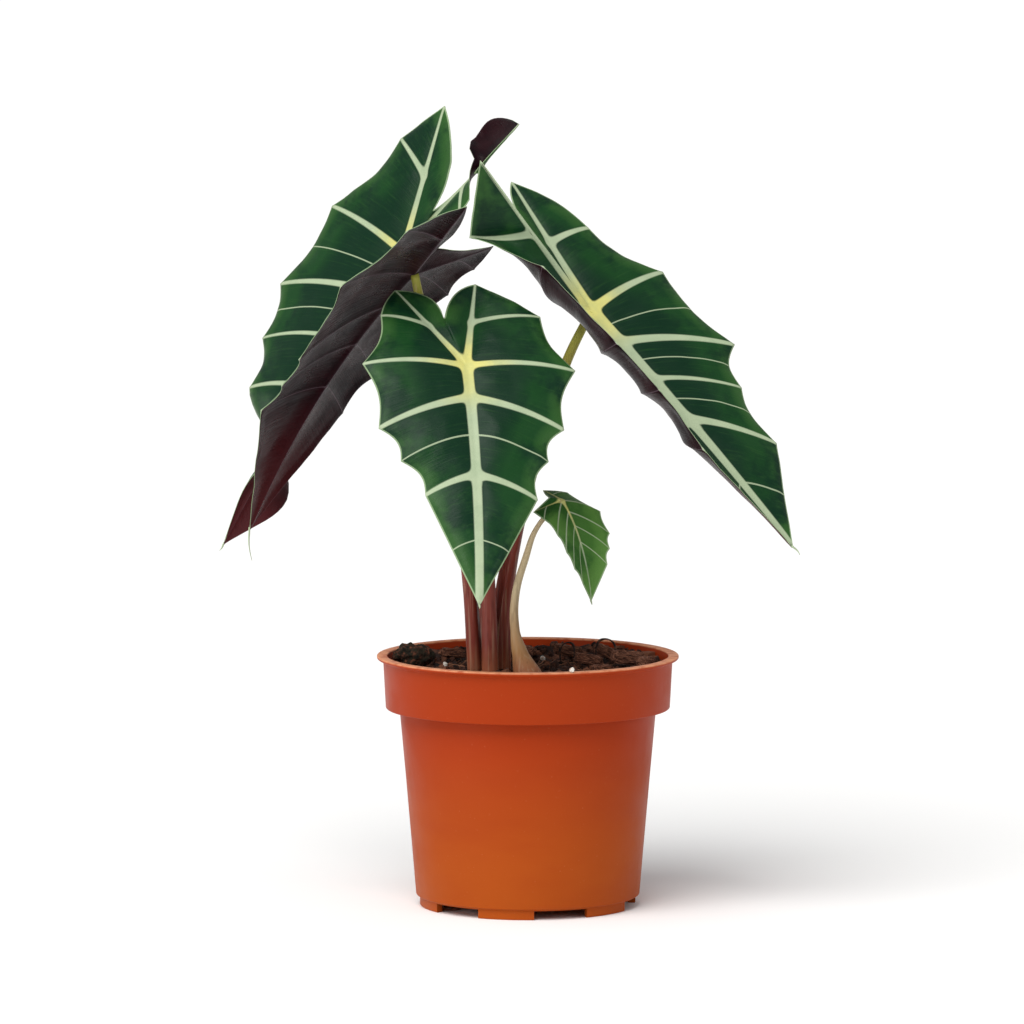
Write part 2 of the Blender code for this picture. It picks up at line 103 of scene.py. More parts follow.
# Each point of a leaf is (reach to the right, way along the midrib, lift off the blade's plane), in mm. A side lists
# its lobe's tip, then the ends of its side veins. "veins" are the side veins' half widths at their roots, "midrib"
# is the midrib's at its root and tip, "fine" lists the thin lines between, and "thread" is the tip's thin end.
# "arch" rounds each half, "twist" turns the end of each lobe over, and "tip_turn" rolls the tip, both in degrees.
PLAIN_LEAF = {"arch": (0.05, 0.05), "twist": (0, 0), "tip_turn": 0}
LEAVES = {
    "front": PLAIN_LEAF | {
        "junction": (-24, -48, 219),
        "turn": (-84, 58, -4),
        "tip": (0, 102, -3),
        "bow": (1, 3),
        "sinus": (-7, -23, -4),
        "right": ((7, -41, -9), (31, -24, -3), (43, 1, 0), (37, 27, 0), (30, 41, 0), (25, 57, -1)),
        "left": ((-25, -38, -10), (-32, -24, -5), (-41, 0, 0), (-36, 28, 0), (-28, 42, 0), (-19, 56, -1)),
        "inner": ((-2, -35, -7), (-12, -34, -8)),
        "swell": (1, 1),
        "veins": (1.1, 1.35, 1.7, 0.3, 1.6),
        "midrib": (2.3, 1.5),
        "fine": (5.22, 5.3, 5.4, 5.5),
        "thread": (0, 1, 0),
        "stalk": ((-15, -7, 92), (-16, -8, 135), (-20, -18, 175), (-23, -34, 205)),
        "stalk_radii": (3.3, 2.7, 2.1, 1.8, 1.6),
        "sheath": 40,
    },
    "right": PLAIN_LEAF | {
        "junction": (25, 0, 237),
        "turn": (-27, 47, 30),
        "tip": (4, 125, 0),
        "bow": (0, 2),
        "sinus": (-1, -33, 2),
        "arch": (0.04, -0.2),
        "right": ((11, -64, -2), (25, -31, 0), (40, 0, 0), (45, 41, 0), (34, 58, 0), (30, 85, 0)),
        "left": ((-20, -66, 32), (-32, -47, 11), (-25, -17, 27), (-22, 26, 29), (-18, 50, 26), (-15, 78, 20)),
        "inner": ((2, -52, 0), (-14, -48, 14)),
        "swell": (3, 1),
        "veins": (1.6, 1.9, 1.9, 1.1, 1.8),
        "midrib": (2.9, 1.4),
        "fine": (2.5, 3.5, 4.5, 5.3, 5.42, 5.5, 5.58, 5.66, 5.74),
        "thread": (1, 4, -1),
        "stalk": ((-11, 1, 92), (-10, 1, 115), (-7, 0, 139), (0, -1, 168), (15, 0, 216)),
        "stalk_radii": (4.2, 3.8, 3.3, 2.6, 2.0, 1.7),
        "sheath": 200,
    },
    "left_back": PLAIN_LEAF | {
        "junction": (-50, 58, 256),
        "turn": (170, 58, -50),
        "tip": (0, 141, 0),
        "bow": (0, 4),
        "sinus": (4, -22, 2),
        "right": ((18, -71, 0), (21, -29, 5), (26, -1, 10), (32, 36, 8), (24, 58, 6), (9, 83, 4)),
        "left": ((-25, -57, 0), (-37, -35, 0), (-51, 5, 0), (-53, 44, 0), (-45, 66, 0), (-36, 85, 0)),
        "inner": ((9, -38, 0), (-5, -42, 0)),
        "swell": (3, 0),
        "twist": (180, 0),
        "tip_turn": -110,
        "veins": (1.3, 1.5, 1.5, 1.0, 1.2),
        "midrib": (2.4, 0.7),
        "fine": (2.5, 3.5, 5.4, 5.6),
        "thread": (0, 3, 0),
        "stalk": ((-17, 9, 92), (-18, 12, 135), (-24, 24, 180), (-38, 44, 230)),
        "stalk_radii": (3.2, 2.8, 2.3, 1.9, 1.7),
        "sheath": 120,
    },
    "left_front": PLAIN_LEAF | {
        "junction": (-45, -16, 253),
        "turn": (150, 54, 0),
        "tip": (0, 130, 0),
        "bow": (0, 6),
        "sinus": (4, -16, -4),
        "right": ((24, -46, -14), (35, -26, -3), (42, 7, 5), (40, 43, 4), (36, 58, 6), (31, 74, 10)),
        "left": ((-22, -22, -13), (-30, -6, -8), (-36, 12, -2), (-38, 38, 3), (-33, 58, 4), (-27, 77, 5)),
        "inner": ((10, -30, -10), (-8, -19, -10)),
        "swell": (2, 1),
        "veins": (1.2, 1.3, 1.3, 0.9, 1.2),
        "midrib": (2.2, 0.8),
        "fine": (2.5, 3.5, 5.4),
        "thread": (-3, 11, -7),
        "stalk": ((-21, -2, 92), (-24, -3, 135), (-31, -6, 180), (-39, -11, 225)),
        "stalk_radii": (2.9, 2.6, 2.2, 1.9, 1.7),
        "sheath": 20,
    },
    "small": PLAIN_LEAF | {
        "junction": (13.5, -5, 162),
        "turn": (-40, 35, 10),
        "tip": (-3, 34, -24),
        "bow": (1, 3),
        "sinus": (-2, -5, -2),
        "right": ((1, -11, -4), (7, -4, -1), (13, 10, -1), (12, 19, -5), (9, 24, -8), (6, 28, -12)),
        "left": ((-8, -5, -8), (-9, 2, -6), (-9, 11, -7), (-9, 18, -10), (-8, 24, -14), (-6, 29, -18)),
        "inner": ((-1, -8, -3), (-5, -5, -5)),
        "swell": (1, 0),
        "veins": (0.2, 0.1, 0.2, 0.1, 0.1),
        "midrib": (0.45, 0.2),
        "fine": (),
        "thread": (0, 1, -1),
        "stalk": ((0, -8, 92), (-3, -8, 101), (-5, -8, 110), (-5, -7, 124), (-1, -6, 139), (4, -6, 152)),
        "stalk_radii": (6.0, 3.3, 1.9, 1.6, 1.4, 1.0, 0.9),
        "sheath": 60,
    },
}

# Bark chips on the mix: turn and tilt in degrees, then length, width and height in mm.
BARK_CHIPS = (
    (20, 8, (15, 8, 6)),
    (-35, 12, (14, 7, 5)),
    (70, 6, (12, 7, 6)),
    (-10, 9, (12, 6, 4)),
    (15, 10, (12, 7, 5)),
    (40, 8, (13, 7, 4)),
    (-20, 7, (11, 6, 4)),
    (35, 7, (9, 5, 3)),
)
# Root ends that arch out of the mix: x and y of the middle, half span and height in mm, turn in degrees.
ROOT_ARCHES = ((31, 16, 4, 11, 10), (16, 20, 3, 9, -15))


def linear(red, green, blue):
    """A colour given as it looks, 0 to 255, as the renderer stores it."""
    return tuple(((value / 255 + 0.055) / 1.055) ** 2.4 for value in (red, green, blue))


def blade_frame(leaf):
    """The blade's unit vectors: to its right, down its midrib, and out of its upper side."""
    heading, pitch, roll = (math.radians(angle) for angle in leaf["turn"])
    level = np.array([math.cos(heading), math.sin(heading), 0.0])
    along = math.cos(pitch) * level + np.array([0.0, 0.0, -math.sin(pitch)])
    side = np.array([-math.sin(heading), math.cos(heading), 0.0])
    reach = math.cos(roll) * side + math.sin(roll) * np.cross(along, side)
    return np.array([reach, along, np.cross(along, reach)])


def bowed(end, bow, share):
    """A point on a curve from the origin to end that bulges by bow halfway. The share may be a column of shares."""
    return end * share + bow * 4 * share * (1 - share)


def spine_share(station):
    """How far along its spine a station lies. Station 0 is the lobe's tip, 2 the junction, 6 the blade's tip."""
    shares = (-1.0, -LOBE_VEIN_SHARE, *MIDRIB_VEIN_SHARES, 1.0)
    return float(np.interp(station, range(len(shares)), shares))


def spine_point(leaf, lobe_tip, share):
    """A point of the midrib, or of the lobe's spine where the share is negative."""
    if share < 0:
        return lobe_tip * -share
    bow_reach, bow_lift = leaf["bow"]
    return bowed(np.array(leaf["tip"], float), np.array([bow_reach, 0.0, bow_lift]), share)


def lobe_turned(offset, lobe_tip, share, twist):
    """Turns a step off the lobe's spine about that spine, from none at its middle to all of it near its tip.

    The lobe draws in to a waist where it turns over, and spreads to a paddle past it.
    """
    if share >= 0 or twist == 0:
        return offset
    done = min(max((-share - LOBE_TURN_START) / LOBE_TURN_LENGTH, 0.0), 1.0)
    past = min(max((-share - LOBE_PADDLE_START) / (1 - LOBE_PADDLE_START), 0.0), 1.0)
    axis = Vector(lobe_tip).normalized()
    turn = Matrix.Rotation(math.radians(twist) * done * done * (3 - 2 * done), 3, axis)
    width = np.linalg.norm(offset)
    widened = 1 - LOBE_WAIST * math.sin(math.pi * done)
    if width > 0:
        widened += LOBE_PADDLE * math.sin(math.pi * past) ** 0.7 / width
    return np.array(turn @ Vector(offset)) * widened


def tip_turned(offset, station, turn):
    """Turns a step off the midrib about it, from none at the last side veins to all of it near the blade's tip."""
    done = min(max((station - TIP_TURN_START) / TIP_TURN_LENGTH, 0.0), 1.0)
    turned_by = math.radians(turn) * done * done * (3 - 2 * done)
    return np.array(Matrix.Rotation(turned_by, 3, "Y") @ Vector(offset))


def margin_point(leaf, ends, root, station, side, swell):
    """The blade's edge at a station: scalloped between side veins, and swollen by the lobe's tip."""
    low = min(int(station), len(ends) - 2)
    share = station - low
    edge = ends[low] * (1 - share) + ends[low + 1] * share
    inward = root - edge
    width = np.linalg.norm(inward)
    if low == 0:
        return edge + np.array([side * swell * math.sin(math.pi * share), 0.0, 0.0])
    if low == len(ends) - 2 or width == 0:
        return edge
    return edge + inward * min(SCALLOP * leaf["tip"][1] * math.sin(math.pi * share) / width, 0.3)


def vein_sweep(station, out):
    """How side veins bow towards the lobes on their way out. None at the two ends of the spine."""
    fade = min(station, 6 - station, 1.0)
    return np.array([0.0, -VEIN_SWEEP * np.linalg.norm(out) * fade, 0.0])


def outer_column(leaf, ends, station, half, steps):
    """Points from the spine to the edge at a station. half is (side, swell, twist, arch)."""
    side, swell, twist, arch = half
    share = spine_share(station)
    root = spine_point(leaf, ends[0], share)
    out = lobe_turned(margin_point(leaf, ends, root, station, side, swell) - root, ends[0], share, twist)
    out = tip_turned(out, station, leaf["tip_turn"])
    rise = np.cross(out, (0.0, 1.0, 0.0)) * side * arch + vein_sweep(station, out)
    return root + bowed(out, rise, np.linspace(0, 1, steps + 1)[:, None])


def inner_column(leaf, lobe_tip, middle, share, twist):
    """Points from a lobe's spine to the edge that faces the other lobe, at a share of the way to its tip."""
    sinus = np.array(leaf["sinus"], float)
    shoulder = 2 * np.array(middle, float) - (sinus + lobe_tip) / 2
    edge = sinus * (1 - share) ** 2 + shoulder * 2 * share * (1 - share) + lobe_tip * share**2
    out = lobe_turned(edge - lobe_tip * share, lobe_tip, -share, twist)
    return lobe_tip * share + out * np.linspace(0, 1, INNER_ROWS + 1)[:, None]


def halves(leaf):
    """Each half of a leaf: its vein ends and tip, its inner edge's middle, and (side, swell, twist, arch)."""
    for index, key in enumerate(("right", "left")):
        ends = [np.array(point, float) for point in (*leaf[key], leaf["tip"])]
        shape = (leaf[trait][index] for trait in ("swell", "twist", "arch"))
        yield ends, leaf["inner"][index], (1 - 2 * index, *shape)


def blade_surface(leaf):
    """The blade's middle surface: points in mm, faces, and for each point its station, row share and side."""
    points, marks, faces = [], [], []
    for ends, middle, half in halves(leaf):
        side, twist = half[0], half[2]
        count = (len(ends) - 1) * COLUMNS_PER_VEIN
        stations = [step / COLUMNS_PER_VEIN for step in range(count + 1)]
        outer = [(outer_column(leaf, ends, station, half, ROWS), station) for station in stations]
        back = [2 - step / COLUMNS_PER_VEIN for step in range(2 * COLUMNS_PER_VEIN + 1)]
        inner = [(inner_column(leaf, ends[0], middle, -spine_share(at), twist), at) for at in back]
        for columns in (outer, inner):
            first, wide = len(points), len(columns[0][0])
            for column, station in columns:
                points.extend(column)
                marks.extend((station, row / (wide - 1), side) for row in range(wide))
            for start in range(first, len(points) - wide, wide):
                for low in range(start, start + wide - 1):
                    corners = (low, low + wide, low + wide + 1, low + 1)
                    faces.append(corners if side < 0 else corners[::-1])
    return np.array(points), np.array(marks), faces


def joined(points, marks, faces, within=0.02):
    """Points this close, in mm, made one, with faces that lose a corner kept where three are left."""
    _, first, index = np.unique(np.round(points / within), axis=0, return_index=True, return_inverse=True)
    index = index.reshape(-1)
    kept = [tuple(dict.fromkeys(int(index[corner]) for corner in face)) for face in faces]
    return points[first], marks[first], [face for face in kept if len(face) > 2]


def gap_to(points, line, widths):
    """Distance from each point to a line of points, less the line's half width there."""
    gaps = np.full(len(points), 1e9)
    for start, end, width, next_width in zip(line, line[1:], widths, widths[1:]):
        step = end - start
        share = np.clip((points - start) @ step / max(step @ step, 1e-12), 0, 1)
        apart = np.linalg.norm(points - start - share[:, None] * step, axis=1)
        gaps = np.minimum(gaps, apart - width - share * (next_width - width))
    return gaps


def vein_lines(leaf):
    """The main veins as (line, half widths), the midrib and lobe veins first, then the thin lines the same way."""
    root, tip = leaf["midrib"]
    shares = np.linspace(0, 1, 17)
    main = [(np.array([spine_point(leaf, None, share) for share in shares]), root + (tip - root) * shares**0.8)]
    fine = []
    for ends, _, half in halves(leaf):
        main.append((ends[0] * shares[:, None], 0.75 * root * (1 - 0.75 * shares)))
        for station, width in enumerate(leaf["veins"], start=1):
            column = outer_column(leaf, ends, station, half, 16)
            (main if width > 0.4 else fine).append((column, width * (1 - 0.55 * shares)))
        for station in leaf["fine"]:
            column = outer_column(leaf, ends, station, half, 16)
            fine.append((column, np.full(17, 0.18)))
    return main, fine


def margin_gap(points, faces):
    """Distance from each point to the blade's edge, and the edge's loops as (from, to) pairs."""
    used = {}
    for face in faces:
        for start, end in zip(face, face[1:] + face[:1]):
            used[(start, end)] = True
    border = [(start, end) for start, end in used if (end, start) not in used]
    gaps = np.full(len(points), 1e9)
    ends = points[[start for start, _ in border]]
    for low in range(0, len(points), 2000):
        apart = np.linalg.norm(points[low : low + 2000, None] - ends[None], axis=2)
        gaps[low : low + 2000] = apart.min(axis=1)
    return gaps, border


def point_normals(points, faces):
    normals = np.zeros_like(points)
    for face in faces:
        corners = points[list(face)]
        normal = np.cross(corners[1] - corners[0], corners[2] - corners[0])
        if len(face) == 4:
            normal += np.cross(corners[2] - corners[0], corners[3] - corners[0])
        normals[list(face)] += normal
    return normals / np.maximum(np.linalg.norm(normals, axis=1), 1e-12)[:, None]


def smooth_step(value, low, high):
    share = np.clip((value - low) / (high - low), 0, 1)
    return share * share * (3 - 2 * share)


def merged_gap(gaps, softness):
    """The nearest of several distances, blended where two are close, so that joined veins are filleted."""
    stacked = np.array(gaps)
    nearest = stacked.min(axis=0)
    return nearest - softness * np.log(np.exp((nearest - stacked) / softness).sum(axis=0))


def mesh_piece(name, points, faces, finishes, attributes=(), face_finish=None):
    """An object at the origin from points in metres, with named values at its points and its finishes."""
    mesh = bpy.data.meshes.new(name)
    mesh.from_pydata([tuple(point) for point in points], [], faces)
    for label, values in dict(attributes).items():
        values = np.asarray(values, np.float32)
        kind, key = ("FLOAT", "value") if values.ndim == 1 else ("FLOAT_VECTOR", "vector")
        mesh.attributes.new(label, kind, "POINT").data.foreach_set(key, values.ravel())
    if face_finish is not None:
        mesh.polygons.foreach_set("material_index", np.array(face_finish, np.int32))
    for finish in finishes:
        mesh.materials.append(finish)
    mesh.shade_smooth()
    mesh.validate()
    obj = bpy.data.objects.new(name, mesh)
    bpy.context.scene.collection.objects.link(obj)
    return obj


def tube(line, radii, sides=12):
    """Points and faces of a closed tube along a line, its ends capped. radii may hold a row for each ring."""
    line = np.asarray(line, float)
    steps = np.gradient(line, axis=0)
    steps /= np.linalg.norm(steps, axis=1)[:, None]
    across = np.cross(steps[0], (0.31, -0.95, 0.05))
    points, rings = [], []
    for centre, step, radius in zip(line, steps, radii):
        across = across - (across @ step) * step
        across /= np.linalg.norm(across)
        other = np.cross(step, across)
        angles = np.linspace(0, math.tau, sides, endpoint=False)
        ring = np.cos(angles)[:, None] * across + np.sin(angles)[:, None] * other
        rings.append(range(len(points), len(points) + sides))
        points.extend(centre + ring * np.reshape(radius, (-1, 1)))
    faces = []
    for lower, upper in zip(rings, rings[1:]):
        for index in range(sides):
            after = (index + 1) % sides
            faces.append((lower[index], lower[after], upper[after], upper[index]))
    for ring, centre, turn in ((rings[0], line[0], -1), (rings[-1], line[-1], 1)):
        points.append(centre)
        hub = len(points) - 1
        for index in range(sides):
            corners = (ring[index], ring[(index + 1) % sides], hub)
            faces.append(corners[::turn])
    return points, faces


class Finish:
    """A material being built: every call adds one node and returns its first output."""

    def __init__(self, name):
        self.material = bpy.data.materials.new(name)
        self.material.use_nodes = True
        self.tree = self.material.node_tree
        self.shader = self.tree.nodes["Principled BSDF"]

    def node(self, kind, inputs, output=0, **settings):
        made = self.tree.nodes.new("ShaderNode" + kind)
        for key, value in settings.items():
            setattr(made, key, value)
        for key, value in inputs.items():
            if isinstance(value, bpy.types.NodeSocket):
                self.tree.links.new(value, made.inputs[key])
            else:
                made.inputs[key].default_value = value
        return made.outputs[output]

    def place(self, scale=(1, 1, 1)):
        """Object coordinates, scaled."""
        return self.node("Mapping", {0: self.node("TexCoord", {}, 3), 3: scale})

    def height(self):
        return self.node("SeparateXYZ", {0: self.place()}, 2)

    def value(self, name):
        """A named value of the mesh, as its own number."""
        return self.node("Attribute", {}, 2, attribute_name=name)

    def vector(self, name, scale):
        found = self.node("Attribute", {}, 1, attribute_name=name)
        return self.node("Mapping", {0: found, 3: scale})

    def noise(self, vector, scale, detail=3.0, roughness=0.55, distortion=0.0):
        inputs = {"Vector": vector, "Scale": scale, "Detail": detail, "Roughness": roughness}
        return self.node("TexNoise", {**inputs, "Distortion": distortion})

    def span(self, value, low, high, to_low=0.0, to_high=1.0):
        """The value eased from one range to another, and held at the ends."""
        ranges = {0: value, 1: low, 2: high, 3: to_low, 4: to_high}
        return self.node("MapRange", ranges, interpolation_type="SMOOTHSTEP")

    def math(self, operation, first, second=0.0):
        return self.node("Math", {0: first, 1: second}, operation=operation)

    def ramp(self, value, *stops):
        """Colours along a value, as (position, colour) stops."""
        made = self.node("ValToRGB", {0: value})
        elements = made.node.color_ramp.elements
        while len(elements) < len(stops):
            elements.new(0.5)
        for element, (position, colour) in zip(elements, stops):
            element.position = position
            element.color = (*colour[:3], 1)
        return made

    def blend(self, share, first, second, mode="MIX"):
        colours = [side if isinstance(side, bpy.types.NodeSocket) else (*side[:3], 1) for side in (first, second)]
        return self.node("Mix", {0: share, 6: colours[0], 7: colours[1]}, 2, data_type="RGBA", blend_type=mode)

    def bump(self, height, strength, distance, normal=None):
        inputs = {"Height": height, "Strength": strength, "Distance": distance}
        if normal is not None:
            inputs["Normal"] = normal
        return self.node("Bump", inputs)

    def done(self, colour, roughness, normal=None, **plain):
        """Links colour, roughness and normal to the shader, sets its plain values, and gives the material."""
        for key, value in (("Base Color", colour), ("Roughness", roughness), ("Normal", normal)):
            if isinstance(value, bpy.types.NodeSocket):
                self.tree.links.new(value, self.shader.inputs[key])
            elif value is not None:
                self.shader.inputs[key].default_value = value
        for key, value in plain.items():
            self.shader.inputs[key.replace("_", " ")].default_value = value
        return self.material


def blade_upper_finish(name, looks, young):
    """Dark green between pale veins, with a thin pale edge and faint streaks that run from the midrib outwards."""
    make = Finish(name)
    place = make.place()
    vein = make.value("vein")
    edge = make.value("edge")
    mottle = make.noise(place, 55, 4, 0.6)
    streaks = make.noise(make.vector("lane", (26, 0.05, 1)), 1.0, 3, 0.7)
    deep, mid, rim = looks.panel(young)
    panel = make.ramp(make.span(edge, 0, 22), (0.0, rim), (0.22, mid), (0.62, mid), (1.0, deep))
    panel = make.blend(make.span(mottle, 0.42, 0.66), panel, deep)
    panel = make.blend(make.span(streaks, 0.5, 0.8, 0, 0.35), panel, rim)
    pale = make.ramp(make.span(make.value("heart"), 3, 24), (0.0, looks.heart_colour), (1.0, looks.vein_colour))
    pale = make.blend(make.span(make.noise(place, 160), 0.35, 0.75, 0, 0.35), pale, looks.vein_shade)
    fine = make.span(make.value("fine"), -0.05, 0.22, 0.8, 0)
    colour = make.blend(fine, panel, looks.vein_colour)
    colour = make.blend(make.span(edge, 0.3, 0.75, 0.8, 0), colour, looks.edge_colour)
    inside = make.span(vein, -0.35, 0.35, 1, 0)
    colour = make.blend(inside, colour, pale)
    gloss = make.span(make.noise(place, 120), 0.3, 0.7, 0.3, 0.44)
    grain = make.noise(place, 1400, 2)
    normal = make.bump(streaks, 0.25, 0.0006)
    normal = make.bump(grain, 0.12, 0.0002, normal)
    return make.done(colour, gloss, normal, Specular_IOR_Level=0.14)


def blade_under_finish(name, looks, young):
    """The dark purple underside, redder at its tip, with ribs a little lighter and a painted highlight as a thin pale
    line along each rib and along the edge.
    """
    make = Finish(name)
    place = make.place()
    mottle = make.noise(place, 70, 4, 0.6)
    base = looks.young_under if young else looks.under_colour
    shade = looks.young_under if young else looks.under_shade
    colour = make.blend(make.span(mottle, 0.35, 0.7), base, shade)
    colour = make.blend(make.span(make.value("vein"), -0.8, 0.6, 0.35, 0), colour, looks.under_rib)
    # Painted highlight: a thin pale line along each rib and along the blade's edge.
    colour = make.blend(make.span(make.value("rib"), 0.08, 0.3, 0.6, 0), colour, looks.under_highlight_line)
    colour = make.blend(make.span(make.value("edge"), 0.1, 0.4, 0.7, 0), colour, looks.under_highlight_line)
    streaks = make.noise(make.vector("lane", (30, 0.04, 1)), 1.0, 3, 0.7)
    station = make.node("SeparateXYZ", {0: make.vector("lane", (1, 1, 1))}, 0)
    colour = make.blend(make.span(station, 4.9, 5.9, 0, 0.7), colour, looks.under_tip)
    gloss = make.span(make.noise(place, 90), 0.3, 0.7, 0.24, 0.4)
    normal = make.bump(streaks, 0.35, 0.0008)
    normal = make.bump(make.noise(place, 1200, 2), 0.1, 0.0002, normal)
    return make.done(colour, gloss, normal, Specular_IOR_Level=0.08)


def stalk_finish(name, stops, ridge_colour, low, high):
    """Colours up the stalk, long darker flecks, and pale ridges where its sheath closes."""
    make = Finish(name)
    rise = make.span(make.height(), low, high)
    rise.node.interpolation_type = "LINEAR"
    colour = make.ramp(rise, *stops)
    flecks = make.noise(make.place((1, 1, 0.16)), 620, 3, 0.6)
    dark = make.blend(0.6, colour, (0.02, 0.006, 0.006), "MULTIPLY")
    colour = make.blend(make.span(flecks, 0.5, 0.68, 0, 0.4), colour, dark)
    long_streaks = make.noise(make.place((1, 1, 0.02)), 900, 2)
    colour = make.blend(make.span(long_streaks, 0.52, 0.7, 0, 0.3), colour, ridge_colour)
    colour = make.blend(make.span(make.value("ridge"), 0.55, 0.9, 0, 0.85), colour, ridge_colour)
    normal = make.bump(long_streaks, 0.3, 0.0004)
    gloss = make.span(flecks, 0.3, 0.7, 0.34, 0.5)
    return make.done(colour, gloss, normal, Specular_IOR_Level=0.25)


def pot_finish(looks):
    """Moulded terracotta-coloured plastic: matt, a little more orange towards the foot, with pale dust specks and a
    painted highlight along the top of the lip.
    """
    make = Finish("moulded terracotta plastic")
    place = make.place()
    height = make.height()
    rise = make.span(height, 0.0, 0.1)
    colour = make.ramp(rise, (0.0, looks.low_colour), (0.6, looks.pot_colour), (0.8, looks.collar_colour))
    cloud = make.noise(make.place((1, 1, 2.5)), 22, 3)
    colour = make.blend(make.span(cloud, 0.4, 0.7, 0, 0.22), colour, looks.pot_shade)
    # Painted highlight: a pale band along the top of the lip, broken up by noise.
    lip = make.span(height, 0.0992, 0.0999)
    highlight_breakup = make.span(make.noise(place, 240, 3), 0.3, 0.6, 0.35, 0.9)
    colour = make.blend(make.math("MULTIPLY", lip, highlight_breakup), colour, looks.lip_highlight_and_dust_colour)
    # Pale dust specks all over, in the colour that also paints the lip's highlight.
    dust = make.span(make.noise(place, 900, 2, 0.7), 0.68, 0.8, 0, 0.2)
    colour = make.blend(dust, colour, looks.lip_highlight_and_dust_colour)
    flow = make.noise(make.place((1, 1, 0.12)), 160, 2)
    gloss = make.span(make.noise(place, 60), 0.3, 0.7, 0.38, 0.52)
    normal = make.bump(make.noise(place, 1900, 2), 0.12, 0.0002)
    normal = make.bump(flow, 0.12, 0.0004, normal)
    return make.done(colour, gloss, normal, Specular_IOR_Level=0.08)


def crumbly_finish(name, colours, scale, gloss=0.9, depth=0.0008, tone=None):
    """Earthy pieces: colours from dark to light by a noise, or by each crumb's own tone, with a rough surface."""
    make = Finish(name)
    place = make.place()
    patches = make.noise(place, scale, 5, 0.65)
    share = make.span(patches, 0.32, 0.7)
    if tone:
        share = make.math("ADD", make.math("MULTIPLY", share, 0.35), make.math("MULTIPLY", make.value(tone), 0.65))
    stops = [(index / (len(colours) - 1), colour) for index, colour in enumerate(colours)]
    colour = make.ramp(share, *stops)
    normal = make.bump(make.noise(place, scale * 5, 4, 0.7), 0.7, depth)
    return make.done(colour, gloss, normal, Specular_IOR_Level=0.3)


def bark_finish(looks):
    """Split bark: long fibres in reddish brown, pale on the broken ridges."""
    make = Finish("split bark")
    grain = make.noise(make.vector("grain", (0.35, 3, 3)), 1.0, 5, 0.7)
    colour = make.ramp(make.span(grain, 0.3, 0.72), (0, looks.bark_dark), (0.5, looks.bark_mid), (1, looks.bark_pale))
    normal = make.bump(grain, 0.8, 0.0009)
    return make.done(colour, 0.85, normal, Specular_IOR_Level=0.3)


def colour_property(name, description, red, green, blue):
    return bpy.props.FloatVectorProperty(
        name=name, description=description, subtype="COLOR", size=3, min=0, max=1, default=linear(red, green, blue)
    )


def length_property(name, description, millimetres, low=0.0, high=500.0):
    return bpy.props.FloatProperty(
        name=name, description=description, default=millimetres * MM, min=low * MM, max=high * MM, unit="LENGTH"
    )


class LeafSettings(bpy.types.PropertyGroup):
    """Sizes and colours of the leaf blades."""

    thickness: length_property("Thickness", "Blade thickness between the veins", 0.6, 0.2, 1.0)
    pucker: length_property("Pucker", "How far the blade swells up between its veins", 0.9, 0, 3)
    rib: length_property("Rib", "How far the midrib stands out underneath", 0.6, 0, 2)
    heart_colour: colour_property("Heart", "Veins where they meet, over the stalk", 206, 200, 118)
    vein_colour: colour_property("Veins", "Main veins on the upper side", 166, 180, 148)
    vein_shade: colour_property("Vein shade", "Darker streaks in the veins", 138, 158, 126)
    edge_colour: colour_property("Edge", "The thin line round the blade", 150, 172, 132)
    deep_colour: colour_property("Deep green", "Blade beside the midrib", 9, 42, 25)
    mid_colour: colour_property("Mid green", "Blade between the veins", 20, 60, 27)
    rim_colour: colour_property("Light green", "Blade near its edge", 46, 84, 38)
    under_colour: colour_property("Underside", "Purple of the underside", 34, 9, 15)
    under_shade: colour_property("Underside shade", "Darker patches of the underside", 12, 4, 9)
    under_rib: colour_property("Underside ribs", "Ribs on the underside", 38, 13, 21)
    # Painted highlight colour for the thin lines along the underside's ribs and edge.
    under_highlight_line: colour_property("Underside lines", "Thin lines on the ribs and the edge", 96, 80, 88)
    under_tip: colour_property("Underside tip", "Redder end of the underside", 84, 36, 38)
    young_deep: colour_property("Young deep green", "Youngest leaf beside its midrib", 34, 78, 30)
    young_mid: colour_property("Young green", "Youngest leaf between its veins", 62, 104, 42)
    young_rim: colour_property("Young light green", "Youngest leaf near its edge", 86, 128, 58)
    young_under: colour_property("Young underside", "Underside of the youngest leaf", 70, 92, 52)

    def panel(self, young):
        """The greens between the veins, from beside the midrib to the edge."""
        if young:
            return self.young_deep, self.young_mid, self.young_rim
        return self.deep_colour, self.mid_colour, self.rim_colour


class StalkSettings(bpy.types.PropertyGroup):
    """Colours and sheath of the leaf stalks."""

    ridge: bpy.props.FloatProperty(
        name="Ridge", description="How far the sheath's edges stand out, as a share of the radius",
        default=0.22, min=0, max=1,
    )
    foot_colour: colour_property("Foot", "Where the stalk leaves the mix", 164, 96, 66)
    low_colour: colour_property("Lower stalk", "Lower half of the stalk", 124, 52, 40)
    high_colour: colour_property("Upper stalk", "Upper half of the stalk", 128, 88, 48)
    top_colour: colour_property("Top", "Just under the blade", 158, 156, 66)
    ridge_colour: colour_property("Sheath edge", "The sheath's papery edges", 190, 158, 128)
    fibre_colour: colour_property("Young foot", "The swollen foot of the youngest stalk", 184, 136, 88)
    pale_colour: colour_property("Young stalk", "The youngest leaf's stalk", 200, 180, 142)


